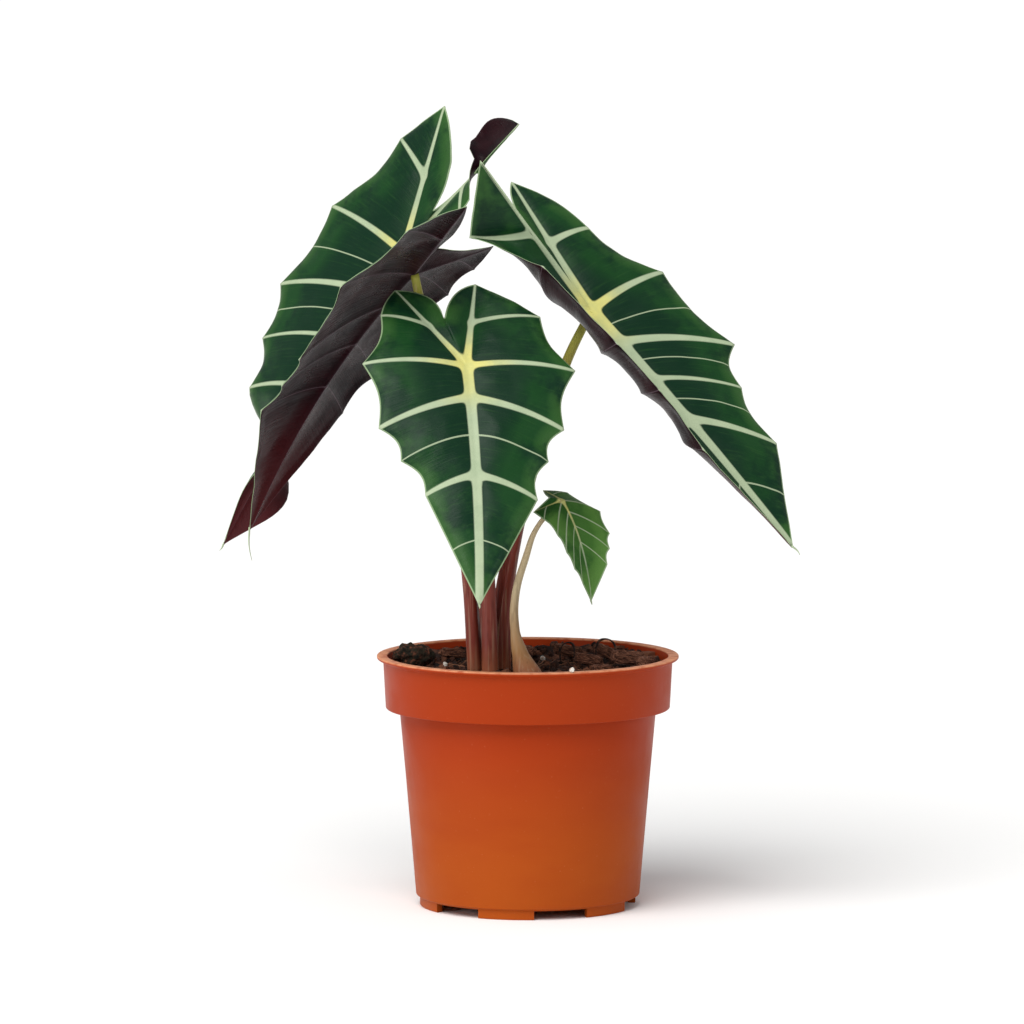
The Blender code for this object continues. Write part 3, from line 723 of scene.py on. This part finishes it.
class PotSettings(bpy.types.PropertyGroup):
    """Sizes and colours of the pot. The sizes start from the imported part."""

    height: length_property("Height", "From the foot to the lip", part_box("pot")[1].z / MM)
    lip_radius: length_property("Lip radius", "Half the width across the lip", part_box("pot")[1].y / MM)
    wall: length_property("Wall", "Thickness of the moulded wall", 1.6, 0.5, 5)
    pot_colour: colour_property("Body", "The pot's body", 160, 59, 17)
    low_colour: colour_property("Foot", "The pot near its foot", 164, 74, 18)
    collar_colour: colour_property("Collar", "The band under the lip", 160, 53, 14)
    pot_shade: colour_property("Cloud", "Faint darker clouds in the plastic", 148, 50, 14)
    # Painted highlight colour for the top of the lip; the pale dust specks use it too.
    lip_highlight_and_dust_colour: colour_property("Lip", "Painted highlight on the lip's top, also the dust specks", 226, 158, 118)


class MixSettings(bpy.types.PropertyGroup):
    """The potting mix and what lies on it."""

    crumbs: bpy.props.IntProperty(name="Crumbs", description="Loose crumbs on the mix", default=900, min=0, max=4000)
    fibres: bpy.props.IntProperty(name="Fibres", description="Coir fibres on the mix", default=70, min=0, max=400)
    dark: colour_property("Dark", "Wet mix", 16, 10, 9)
    brown: colour_property("Brown", "Drier mix", 58, 32, 22)
    light: colour_property("Light", "Dry crumbs", 120, 74, 52)
    fibre: colour_property("Fibre", "Coir fibres and roots", 112, 74, 50)
    root: colour_property("Root", "The arched root ends", 52, 34, 28)
    bark_dark: colour_property("Bark cracks", "Bark between its ridges", 42, 24, 18)
    bark_mid: colour_property("Bark", "Bark", 108, 66, 48)
    bark_pale: colour_property("Bark ridges", "Broken ridges of the bark", 172, 120, 92)
    moss: colour_property("Moss", "The crumbling moss clump", 40, 36, 20)
    perlite: colour_property("Perlite", "White grains", 232, 228, 218)


class StageSettings(bpy.types.PropertyGroup):
    """Floor and light."""

    floor_colour: colour_property("Floor", "The pale floor", 250, 250, 250)
    sky: bpy.props.FloatProperty(name="Surround", description="Light from all round", default=0.4, min=0, max=5)
    sun: bpy.props.FloatProperty(name="Broad light", description="Soft light from the upper left", default=2.8, min=0)
    key: bpy.props.FloatProperty(name="Left softbox", description="Low cool light", default=4, unit="POWER")
    fill: bpy.props.FloatProperty(name="Right softbox", description="Light from the right", default=3, unit="POWER")


def finish_piece(obj, slot, *nodes):
    """Rides on the pot's body and stands for CAD nodes, which it hides. The slot is not used."""
    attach(obj, BODY)
    if nodes:
        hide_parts(*nodes)


def select_only(obj):
    bpy.ops.object.select_all(action="DESELECT")
    obj.select_set(True)
    bpy.context.view_layer.objects.active = obj


def primitive(name, add, **settings):
    """A new primitive under its own name, added with nothing else selected."""
    bpy.ops.object.select_all(action="DESELECT")
    add(**settings)
    obj = bpy.context.object
    obj.name = obj.data.name = name
    return obj


def place_into_mesh(obj):
    """Moves the object's place, turn and size into its mesh."""
    select_only(obj)
    bpy.ops.object.transform_apply(location=True, rotation=True, scale=True)


def apply_modifier(obj, kind, **settings):
    modifier = obj.modifiers.new(kind.title(), kind)
    for key, value in settings.items():
        setattr(modifier, key, value)
    select_only(obj)
    bpy.ops.object.modifier_apply(modifier=modifier.name)


def turned_solid(name, profile, segments):
    """A closed round piece: a filled circle whose cap is pushed and scaled along (radius, height) steps."""
    radius, height = profile[0]
    first = {"vertices": segments, "radius": radius, "location": (0, 0, height)}
    obj = primitive(name, bpy.ops.mesh.primitive_circle_add, fill_type="NGON", **first)
    place_into_mesh(obj)
    bpy.ops.object.mode_set(mode="EDIT")
    bpy.ops.mesh.select_mode(type="FACE")
    bpy.ops.mesh.select_all(action="SELECT")
    for next_radius, next_height in profile[1:]:
        lift = (0, 0, next_height - height)
        bpy.ops.mesh.extrude_region_move(TRANSFORM_OT_translate={"value": lift})
        share = next_radius / radius
        bpy.ops.transform.resize(value=(share, share, 1), center_override=(0, 0, next_height))
        radius, height = next_radius, next_height
    bpy.ops.mesh.select_all(action="SELECT")
    bpy.ops.mesh.normals_make_consistent(inside=False)
    bpy.ops.object.mode_set(mode="OBJECT")
    return obj


def dress(obj, finish, sharp=40):
    obj.data.materials.clear()
    obj.data.materials.append(finish)
    select_only(obj)
    bpy.ops.object.shade_smooth_by_angle(angle=math.radians(sharp))


def rough(obj, amount, scale, seed=0.0, detail=4):
    """Pushes each point in or out along its normal by layered noise."""
    shift = Vector((seed * 7.3, seed * 3.1, seed * 5.7))
    normals = [vert.normal.copy() for vert in obj.data.vertices]
    for vert, normal in zip(obj.data.vertices, normals):
        vert.co += normal * amount * noise.fractal(vert.co * scale + shift, 1.0, 2.1, detail)
    obj.data.update()


class ALOCASIA_OT_stage(bpy.types.Operator):
    """Lay the floor and set the lights and the camera"""

    bl_idname = "alocasia.stage"
    bl_label = "Floor, light and camera"

    def execute(self, context):
        settings = context.scene.alocasia_stage
        floor = primitive("floor", bpy.ops.mesh.primitive_plane_add, size=FLOOR_SIZE)
        make = Finish("pale floor")
        faint = make.noise(make.place(), 3, 2)
        colour = make.blend(make.span(faint, 0.3, 0.7, 0, 0.03), settings.floor_colour, (0.8, 0.8, 0.8))
        floor.data.materials.append(make.done(colour, 0.9, Specular_IOR_Level=0.0))
        world = bpy.data.worlds.new("soft surround")
        world.use_nodes = True
        surround = world.node_tree.nodes["Background"]
        surround.inputs["Color"].default_value = (1, 1, 1, 1)
        surround.inputs["Strength"].default_value = settings.sky
        context.scene.world = world
        context.scene.view_settings.view_transform = "Standard"
        sun = bpy.data.lights.new("broad light", "SUN")
        sun.energy, sun.angle, sun.color = settings.sun, SUN_SPREAD, (1.0, 0.99, 0.97)
        self.add_light(context, sun, SUN_PLACE)
        lamps = (
            ("left softbox", (-1.2, -0.9, 0.25), 0.5, settings.key, (0.92, 0.96, 1.0)),
            ("right softbox", (1.4, -1.1, 0.8), 0.7, settings.fill, (0.92, 0.96, 1.0)),
        )
        for name, place, size, power, colour in lamps:
            lamp = bpy.data.lights.new(name, "AREA")
            lamp.size, lamp.energy, lamp.color = size, power, colour
            self.add_light(context, lamp, place)
        camera = bpy.data.objects.new("camera", bpy.data.cameras.new("camera"))
        camera.location = CAMERA_PLACE
        look = Vector(CAMERA_AIM) - camera.location
        camera.rotation_euler = look.to_track_quat("-Z", "Y").to_euler()
        camera.data.lens, camera.data.sensor_width = CAMERA_LENS, SENSOR_WIDTH
        context.scene.collection.objects.link(camera)
        context.scene.camera = camera
        return {"FINISHED"}

    def add_light(self, context, lamp, place):
        """Hangs a light that shines on the middle of the plant."""
        obj = bpy.data.objects.new(lamp.name, lamp)
        obj.location = place
        obj.rotation_euler = (Vector(LIGHT_AIM) - Vector(place)).to_track_quat("-Z", "Y").to_euler()
        context.scene.collection.objects.link(obj)


class ALOCASIA_OT_blades(bpy.types.Operator):
    """Draw the five leaf blades from their veins"""

    bl_idname = "alocasia.blades"
    bl_label = "Leaf blades"

    def execute(self, context):
        settings = context.scene.alocasia_leaf
        grown = (
            blade_upper_finish("blade upper side", settings, False),
            blade_under_finish("blade underside", settings, False),
        )
        young = (
            blade_upper_finish("young blade upper side", settings, True),
            blade_under_finish("young blade underside", settings, True),
        )
        for name, leaf in LEAVES.items():
            self.make(name, leaf, settings, young if name == "small" else grown)
        return {"FINISHED"}

    def make(self, name, leaf, settings, finishes):
        points, marks, faces = joined(*blade_surface(leaf))
        main, fine_lines = vein_lines(leaf)
        vein = merged_gap([gap_to(points, *line) for line in main], 0.7)
        rib = np.min([gap_to(points, line, np.zeros(len(line))) for line, _ in main], axis=0)
        fine = np.min([gap_to(points, *line) for line in fine_lines] or [np.full(len(points), 9.0)], axis=0)
        edge, border = margin_gap(points, faces)
        heart = np.linalg.norm(points, axis=1)
        station, row, side = marks.T
        lane = np.stack([station, row * 40, side], axis=1)
        normals = point_normals(points, faces)
        size = min(leaf["tip"][1] / 100, 1.0)
        swell = settings.pucker / MM * size * (1 - np.exp(-np.maximum(vein, 0) / 4)) * smooth_step(edge, -1, 4)
        shift = Vector((side_seed(name), 0, 0))
        wave = np.array([noise.fractal(Vector(point) * 0.045 + shift, 1.0, 2.0, 3) for point in points])
        lift = swell + 0.9 * size * wave * smooth_step(rib, 0, 12)
        half = settings.thickness / MM / 2 * (0.35 + 0.65 * smooth_step(edge, 0, 2.5))
        under = settings.rib / MM * size * smooth_step(-vein, -0.6, 1.8)
        upper_points = points + normals * (lift + half + 0.1 * smooth_step(-vein, -0.4, 0.4))[:, None]
        lower_points = points + normals * (lift - half - under)[:, None]
        count = len(points)
        lower_faces = [tuple(corner + count for corner in face[::-1]) for face in faces]
        rim_faces = [(end, start, start + count, end + count) for start, end in border]
        every = [*faces, *lower_faces, *rim_faces]
        which = [0] * len(faces) + [1] * len(lower_faces) + [0] * len(rim_faces)
        shell = np.concatenate([upper_points, lower_points])
        values = {"vein": vein, "rib": rib, "fine": fine, "edge": edge, "heart": heart, "lane": lane}
        values = {key: np.concatenate([found, found]) for key, found in values.items()}
        shell, values, every, which = self.with_thread(leaf, shell, values, every, which)
        placed = (np.array(leaf["junction"], float) + shell @ blade_frame(leaf)) * MM
        blade = mesh_piece("blade_" + name, placed, every, finishes, values, which)
        finish_piece(blade, "young_blade" if name == "small" else "blade", "leaf_" + name)

    def with_thread(self, leaf, shell, values, faces, which):
        """Adds the thin thread that the blade's tip ends in."""
        start = np.array(leaf["tip"], float)
        reach = np.array(leaf["thread"], float)
        shares = np.linspace(0, 1, 9)[:, None]
        line = start + reach * shares + np.array([0.12 * reach[1], 0, 0.0]) * np.sin(math.pi * shares)
        line[0] -= reach / np.linalg.norm(reach) * 0.8
        points, tube_faces = tube(line, np.linspace(0.42, 0.1, 9), 8)
        first = len(shell)
        extra = {"vein": -1.0, "rib": 2.0, "fine": 9.0, "edge": 0.2, "heart": 60.0}
        for key, found in values.items():
            shape = (len(points), *found.shape[1:])
            values[key] = np.concatenate([found, np.full(shape, extra.get(key, 0.0))])
        faces = faces + [tuple(corner + first for corner in face) for face in tube_faces]
        return np.concatenate([shell, points]), values, faces, which + [0] * len(tube_faces)


def side_seed(name):
    """A number of its own for each leaf, so that no two wave alike."""
    return 11.7 * list(LEAVES).index(name)


class ALOCASIA_OT_stalks(bpy.types.Operator):
    """Draw the leaf stalks, each with its sheath's edges near the foot"""

    bl_idname = "alocasia.stalks"
    bl_label = "Leaf stalks"

    def execute(self, context):
        looks = context.scene.alocasia_stalk
        brown = [(0, looks.foot_colour), (0.1, looks.low_colour), (0.5, looks.low_colour), (0.78, looks.high_colour)]
        grown = stalk_finish("sheathed stalk", [*brown, (1, looks.top_colour)], looks.ridge_colour, 0.092, 0.225)
        pale = [(0, looks.foot_colour), (0.14, looks.fibre_colour), (0.5, looks.pale_colour), (1, looks.pale_colour)]
        young = stalk_finish("young stalk", pale, looks.pale_colour, 0.093, 0.16)
        for name, leaf in LEAVES.items():
            self.make(name, leaf, looks, young if name == "small" else grown)
        return {"FINISHED"}

    def make(self, name, leaf, looks, finish):
        under = np.array(leaf["junction"], float) - blade_frame(leaf)[2] * 0.5
        knots = [np.array(knot, float) for knot in (*leaf["stalk"], under)]
        line, radii = self.smooth_line(knots, leaf["stalk_radii"])
        heights = line[:, 2]
        sides = 40
        angles = np.degrees(np.linspace(0, math.tau, sides, endpoint=False))
        rows, ridges = [], []
        for radius, height in zip(radii, heights):
            open_share = float(smooth_step(height, 165, 100))
            ridge = np.zeros(sides)
            for turn in (-32, 34):
                away = np.abs((angles - leaf["sheath"] - turn - 30 * (1 - open_share) + 180) % 360 - 180)
                ridge = np.maximum(ridge, np.exp(-((away / 8) ** 2)))
            ridge = ridge * open_share
            rows.append(radius * (1 + looks.ridge * ridge))
            ridges.extend(ridge)
        points, faces = tube(line, rows, sides)
        ridges = np.concatenate([ridges, [0, 0]])
        stalk = mesh_piece("stalk_" + name, np.array(points) * MM, faces, [finish], {"ridge": ridges})
        finish_piece(stalk, "pale_stalk" if name == "small" else "stalk", "petiole_" + name)

    def smooth_line(self, knots, radii):
        """A smooth curve through the knots, as the stalk's own centre line, with its radius at each step."""
        curve = bpy.data.curves.new("guide", "CURVE")
        curve.dimensions = "3D"
        curve.resolution_u = 16
        spline = curve.splines.new("BEZIER")
        spline.bezier_points.add(len(knots) - 1)
        for point, knot in zip(spline.bezier_points, knots):
            point.co = knot
            point.handle_left_type = point.handle_right_type = "AUTO"
        guide = bpy.data.objects.new("guide", curve)
        bpy.context.scene.collection.objects.link(guide)
        bpy.context.view_layer.update()
        line = np.array([tuple(vert.co) for vert in guide.to_mesh().vertices])
        bpy.data.objects.remove(guide)
        at = np.linspace(0, len(knots) - 1, len(line))
        return line, np.interp(at, range(len(radii)), radii)


class ALOCASIA_OT_pot(bpy.types.Operator):
    """Turn the pot, round its edges and cut the windows in its foot"""

    bl_idname = "alocasia.pot"
    bl_label = "Nursery pot"

    def execute(self, context):
        looks = context.scene.alocasia_pot
        top, lip, wall = looks.height / MM, looks.lip_radius / MM, looks.wall / MM
        shoulder = top - 21
        outside = [(12.9, 0), (16, 4), (40, 4), (40, 0), (43, 0), (43, 4), (44.5, 4.3), (46, 22), (48.6, 52)]
        outside += [(51, shoulder - 0.6), (51, shoulder), (56.5, shoulder), (57.5, top - 2)]
        outside += [(lip, top - 1.2), (lip, top)]
        inside = [(57.5 - wall, top), (56.5 - wall, shoulder + wall), (51 - wall, shoulder + wall)]
        inside += [(44.5 - wall, 4 + wall), (16, 4 + wall), (12.9, wall)]
        pot = turned_solid("nursery_pot", [(r * MM, h * MM) for r, h in outside + inside], 144)
        sharp = {"limit_method": "ANGLE", "angle_limit": math.radians(28), "use_clamp_overlap": True}
        apply_modifier(pot, "BEVEL", width=0.45 * MM, segments=3, **sharp)
        for index in range(WINDOW_COUNT):
            turn = math.radians(FIRST_WINDOW + 360 // WINDOW_COUNT * index)
            place = (FOOT_MIDDLE * math.sin(turn), -FOOT_MIDDLE * math.cos(turn), 0)
            put = {"location": place, "rotation": (0, 0, turn), "scale": WINDOW_SIZE}
            cutter = primitive("foot_window", bpy.ops.mesh.primitive_cube_add, size=1, **put)
            place_into_mesh(cutter)
            apply_modifier(pot, "BOOLEAN", operation="DIFFERENCE", solver="EXACT", object=cutter)
            bpy.data.objects.remove(cutter)
        dress(pot, pot_finish(looks), 35)
        finish_piece(pot, "pot", "pot")
        return {"FINISHED"}


class ALOCASIA_OT_mix(bpy.types.Operator):
    """Fill the pot with crumbly mix, with loose crumbs and coir fibres on it"""

    bl_idname = "alocasia.mix"
    bl_label = "Potting mix"

    def execute(self, context):
        looks = context.scene.alocasia_mix
        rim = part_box("potting_mix")[1].x
        level = MIX_LEVEL
        sides = [(0.0125, 0.0022), (0.0158, 0.0062), (0.0426, 0.0064), (0.0488, 0.081), (rim, 0.0812), (rim, level)]
        top = [(rim * (1 - ring / 30), level) for ring in range(1, 30)]
        mix = turned_solid("potting_mix_bed", sides + top, 160)
        for vert in mix.data.vertices:
            if vert.co.z > level - 0.001:
                vert.co.z = self.surface(vert.co.x, vert.co.y)
        dress(mix, crumbly_finish("wet potting mix", (looks.dark, looks.brown, looks.light), 170), 60)
        finish_piece(mix, "potting_mix", "potting_mix")
        self.scatter(context, looks, rim)
        self.fibres(context, looks, rim)
        return {"FINISHED"}

    def surface(self, x, y):
        """The height of the mix: low waves with crumbly lumps, banked up against the back of the pot."""
        waves = math.sin(160 * x + 1.3) * math.cos(190 * y) + 0.6 * math.sin(330 * x - 270 * y)
        lumps = noise.fractal(Vector((x, y, 0)) * 260, 0.9, 2.1, 5)
        banked = smooth_step(math.hypot(x, y), 0.041, 0.054) * smooth_step(y, -0.012, 0.03)
        return MIX_SURFACE + WAVE_HEIGHT * waves + LUMP_HEIGHT * lumps + BANK_HEIGHT * float(banked)

    def scatter(self, context, looks, rim):
        """Loose crumbs: one small lump copied with its own size, turn and tone."""
        lump = primitive("crumb", bpy.ops.mesh.primitive_ico_sphere_add, subdivisions=1, radius=1)
        shape = np.array([tuple(vert.co) for vert in lump.data.vertices])
        shape *= 1 + 0.25 * np.sin(shape @ np.array([[5.1], [3.7], [4.3]]) + 1)
        corners = [tuple(face.vertices) for face in lump.data.polygons]
        bpy.data.objects.remove(lump)
        dice = random.Random(5)
        points, faces, tones = [], [], []
        for _ in range(looks.crumbs):
            out, turn = rim * math.sqrt(dice.random()) * 0.985, dice.uniform(0, math.tau)
            x, y = out * math.cos(turn), out * math.sin(turn)
            size = 0.0005 + 0.0017 * dice.random() ** 2.2
            angle = dice.uniform(0, math.tau)
            spin = Matrix.Rotation(angle, 3, Vector((dice.random(), dice.random(), 1)).normalized())
            stretch = np.array([dice.uniform(0.8, 1.5), dice.uniform(0.7, 1.1), dice.uniform(0.6, 1.0)]) * size
            first = len(points)
            placed = (shape * stretch) @ np.array(spin).T + (x, y, self.surface(x, y) + 0.25 * size)
            points.extend(placed)
            faces.extend(tuple(corner + first for corner in face) for face in corners)
            tones.extend([dice.random() ** 1.6] * len(shape))
        shades = (looks.dark, looks.brown, looks.light, looks.bark_mid)
        finish = crumbly_finish("loose crumbs", shades, 500, tone="tone")
        crumbs = mesh_piece("mix_crumbs", points, faces, [finish], {"tone": tones})
        crumbs.data.shade_flat()
        finish_piece(crumbs, "potting_mix")

    def fibres(self, context, looks, rim):
        """Short curved coir fibres that lie on the mix."""
        dice = random.Random(9)
        points, faces, tones = [], [], []
        for _ in range(looks.fibres):
            out, turn = rim * math.sqrt(dice.random()) * 0.8, dice.uniform(0, math.tau)
            middle = np.array([out * math.cos(turn), out * math.sin(turn)])
            heading, bend = dice.uniform(0, math.tau), dice.uniform(-0.5, 0.5)
            length, hump = dice.uniform(0.006, 0.016), dice.uniform(0, 0.0016)
            line = []
            for share in np.linspace(-0.5, 0.5, 8):
                angle = heading + bend * share * 3
                x, y = middle + length * share * np.array([math.cos(angle), math.sin(angle)])
                line.append((x, y, self.surface(x, y) + 0.0004 + hump * math.cos(math.pi * share)))
            first = len(points)
            ring_points, ring_faces = tube(line, np.full(8, dice.uniform(0.00012, 0.00028)), 5)
            points.extend(ring_points)
            faces.extend(tuple(corner + first for corner in face) for face in ring_faces)
            tones.extend([dice.random()] * len(ring_points))
        shades = (looks.dark, looks.fibre, looks.bark_pale)
        finish = crumbly_finish("coir fibres", shades, 700, 0.8, 0.0002, tone="tone")
        finish_piece(mesh_piece("coir_fibres", points, faces, [finish], {"tone": tones}), "root")


class ALOCASIA_OT_corm(bpy.types.Operator):
    """Turn the corm that the stalks stand on, ringed by old leaf scars"""

    bl_idname = "alocasia.corm"
    bl_label = "Corm"

    def execute(self, context):
        looks = context.scene.alocasia_mix
        low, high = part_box("corm")
        radius, middle = (high.x - low.x) / 2, (high.x + low.x) / 2
        profile = [(0.8 * radius, low.z)]
        for ring in range(10):
            height = low.z + (high.z - low.z) * (ring + 1) / 11
            profile += [(radius, height), (0.95 * radius, height + 0.0003)]
        profile += [(0.9 * radius, high.z - 0.0002), (0.5 * radius, high.z), (0.1 * radius, high.z)]
        corm = turned_solid("scarred_corm", profile, 64)
        corm.location.x = middle
        place_into_mesh(corm)
        rough(corm, 0.0003, 300, 2)
        dress(corm, crumbly_finish("corm skin", (looks.dark, looks.bark_dark, looks.bark_mid), 260), 50)
        finish_piece(corm, "corm", "corm")
        return {"FINISHED"}


class ALOCASIA_OT_bark(bpy.types.Operator):
    """Split eight bark chips and lay them on the mix"""

    bl_idname = "alocasia.bark"
    bl_label = "Bark chips"

    def execute(self, context):
        finish = bark_finish(context.scene.alocasia_mix)
        for index, (turn, tilt, size) in enumerate(BARK_CHIPS, start=1):
            low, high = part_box(f"bark_chip_{index}")
            chip = primitive(f"split_bark_{index}", bpy.ops.mesh.primitive_cube_add, size=1)
            bpy.ops.object.mode_set(mode="EDIT")
            bpy.ops.mesh.select_all(action="SELECT")
            bpy.ops.mesh.subdivide(number_cuts=13)
            bpy.ops.object.mode_set(mode="OBJECT")
            self.split(chip, size, index)
            chip.rotation_euler = (0, math.radians(tilt), math.radians(turn))
            chip.location = (low + high) / 2
            place_into_mesh(chip)
            dress(chip, finish, 32)
            finish_piece(chip, "bark", f"bark_chip_{index}")
        return {"FINISHED"}

    def split(self, chip, size, seed):
        """Rounds the block, frays its ends along the grain and keeps the grain's own coordinates on it."""
        grain = []
        for vert in chip.data.vertices:
            x, y, z = vert.co
            grain.extend((x * size[0] + 37 * seed, y * size[1], z * size[2]))
            round_off = 1 - 0.32 * (abs(2 * y) ** 4 + abs(2 * z) ** 4) * 0.5 - 0.12 * abs(2 * x) ** 6
            place = Vector((x * size[0], y * size[1], z * size[2])) * MM
            frayed = noise.noise(Vector((seed, place.y * 900, place.z * 900))) * 0.0016 * abs(2 * x) ** 3
            ridged = noise.fractal(Vector((place.x * 90 + seed, place.y * 700, place.z * 700)), 0.9, 2, 4) * 0.0009
            vert.co = place * round_off
            vert.co.x += math.copysign(frayed, x) if x else 0
            vert.co.z += ridged if z > 0 else -ridged * 0.3
            vert.co.y += ridged * 0.7 * (1 if y > 0 else -1)
        chip.data.attributes.new("grain", "FLOAT_VECTOR", "POINT").data.foreach_set("vector", grain)
        chip.data.update()


class ALOCASIA_OT_dressing(bpy.types.Operator):
    """Set the moss clump, the arched root ends and the perlite grains"""

    bl_idname = "alocasia.dressing"
    bl_label = "Moss, roots and perlite"

    def execute(self, context):
        looks = context.scene.alocasia_mix
        self.moss(context, looks)
        self.roots(looks)
        self.perlite(context, looks)
        return {"FINISHED"}

    def moss(self, context, looks):
        low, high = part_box("moss_clump")
        middle, size = (low + high) / 2, high - low
        clump = primitive("crumbling_moss", bpy.ops.mesh.primitive_ico_sphere_add, subdivisions=6, radius=0.5)
        clump.scale = size * 0.96
        clump.location = middle
        place_into_mesh(clump)
        rough(clump, 0.0016, 240, 3, 6)
        for vert in clump.data.vertices:
            vert.co.z = max(vert.co.z, low.z - 0.0004)
        shades = (looks.dark, looks.moss, looks.brown, looks.light)
        dress(clump, crumbly_finish("moss and mix", shades, 520, depth=0.0012), 70)
        finish_piece(clump, "moss", "moss_clump")

    def roots(self, looks):
        finish = crumbly_finish("dead root", (looks.dark, looks.root, looks.fibre), 400, 0.7, 0.0003)
        for index, (x, y, half_span, height, turn) in enumerate(ROOT_ARCHES, start=1):
            turn = math.radians(turn)
            line, radii = [], []
            for step in range(41):
                angle = math.pi * step / 40
                out = -half_span * math.cos(angle) * (1 + 0.35 * math.sin(angle))
                sway = 0.5 * math.sin(3.1 * angle + index)
                across = (x + out * math.cos(turn) + sway, y + out * math.sin(turn) + sway)
                line.append(tuple(Vector((*across, 93.4 + height * math.sin(angle))) * MM))
                radii.append((0.42 + 0.14 * math.sin(5 * angle + 2 * index)) * MM)
            points, faces = tube(line, radii, 12)
            arch = mesh_piece(f"arched_root_{index}", points, faces, [finish])
            finish_piece(arch, "root", f"root_arch_{index}")

    def perlite(self, context, looks):
        finish = crumbly_finish("perlite grain", (looks.bark_pale, looks.perlite, looks.perlite), 900, 0.85, 0.0003)
        for index in range(1, 5):
            low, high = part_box(f"perlite_{index}")
            add = bpy.ops.mesh.primitive_ico_sphere_add
            grain = primitive(f"perlite_grain_{index}", add, subdivisions=4, radius=0.5)
            grain.scale = (high - low) * 0.95
            grain.location = (low + high) / 2 - Vector((0, 0, 0.0004))
            place_into_mesh(grain)
            rough(grain, 0.00035, 900, index)
            dress(grain, finish, 60)
            finish_piece(grain, "perlite", f"perlite_{index}")


class ALOCASIA_PT_panel(bpy.types.Panel):
    """The pieces in the order they are made, with their settings"""

    bl_label = "Potted Alocasia"
    bl_idname = "ALOCASIA_PT_panel"
    bl_space_type = "VIEW_3D"
    bl_region_type = "UI"
    bl_category = "Alocasia"

    def draw(self, context):
        for operator in OPERATORS:
            self.layout.operator(operator.bl_idname)
        for name, group in SETTINGS.items():
            box = self.layout.box()
            box.label(text=name.replace("alocasia_", "").title())
            for key in group.__annotations__:
                box.prop(getattr(context.scene, name), key)


SETTINGS = {
    "alocasia_leaf": LeafSettings,
    "alocasia_stalk": StalkSettings,
    "alocasia_pot": PotSettings,
    "alocasia_mix": MixSettings,
    "alocasia_stage": StageSettings,
}
OPERATORS = (
    ALOCASIA_OT_stage,
    ALOCASIA_OT_pot,
    ALOCASIA_OT_mix,
    ALOCASIA_OT_corm,
    ALOCASIA_OT_stalks,
    ALOCASIA_OT_blades,
    ALOCASIA_OT_bark,
    ALOCASIA_OT_dressing,
)


def register():
    for cls in (*SETTINGS.values(), *OPERATORS, ALOCASIA_PT_panel):
        bpy.utils.register_class(cls)
    for name, group in SETTINGS.items():
        setattr(bpy.types.Scene, name, bpy.props.PointerProperty(type=group))


def unregister():
    for name in SETTINGS:
        delattr(bpy.types.Scene, name)
    for cls in reversed((*SETTINGS.values(), *OPERATORS, ALOCASIA_PT_panel)):
        bpy.utils.unregister_class(cls)


def main():
    register()
    bpy.ops.alocasia.stage()
    bpy.ops.alocasia.pot()
    bpy.ops.alocasia.mix()
    bpy.ops.alocasia.corm()
    bpy.ops.alocasia.stalks()
    bpy.ops.alocasia.blades()
    bpy.ops.alocasia.bark()
    bpy.ops.alocasia.dressing()
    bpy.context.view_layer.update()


if __name__ == "__main__":
    main()
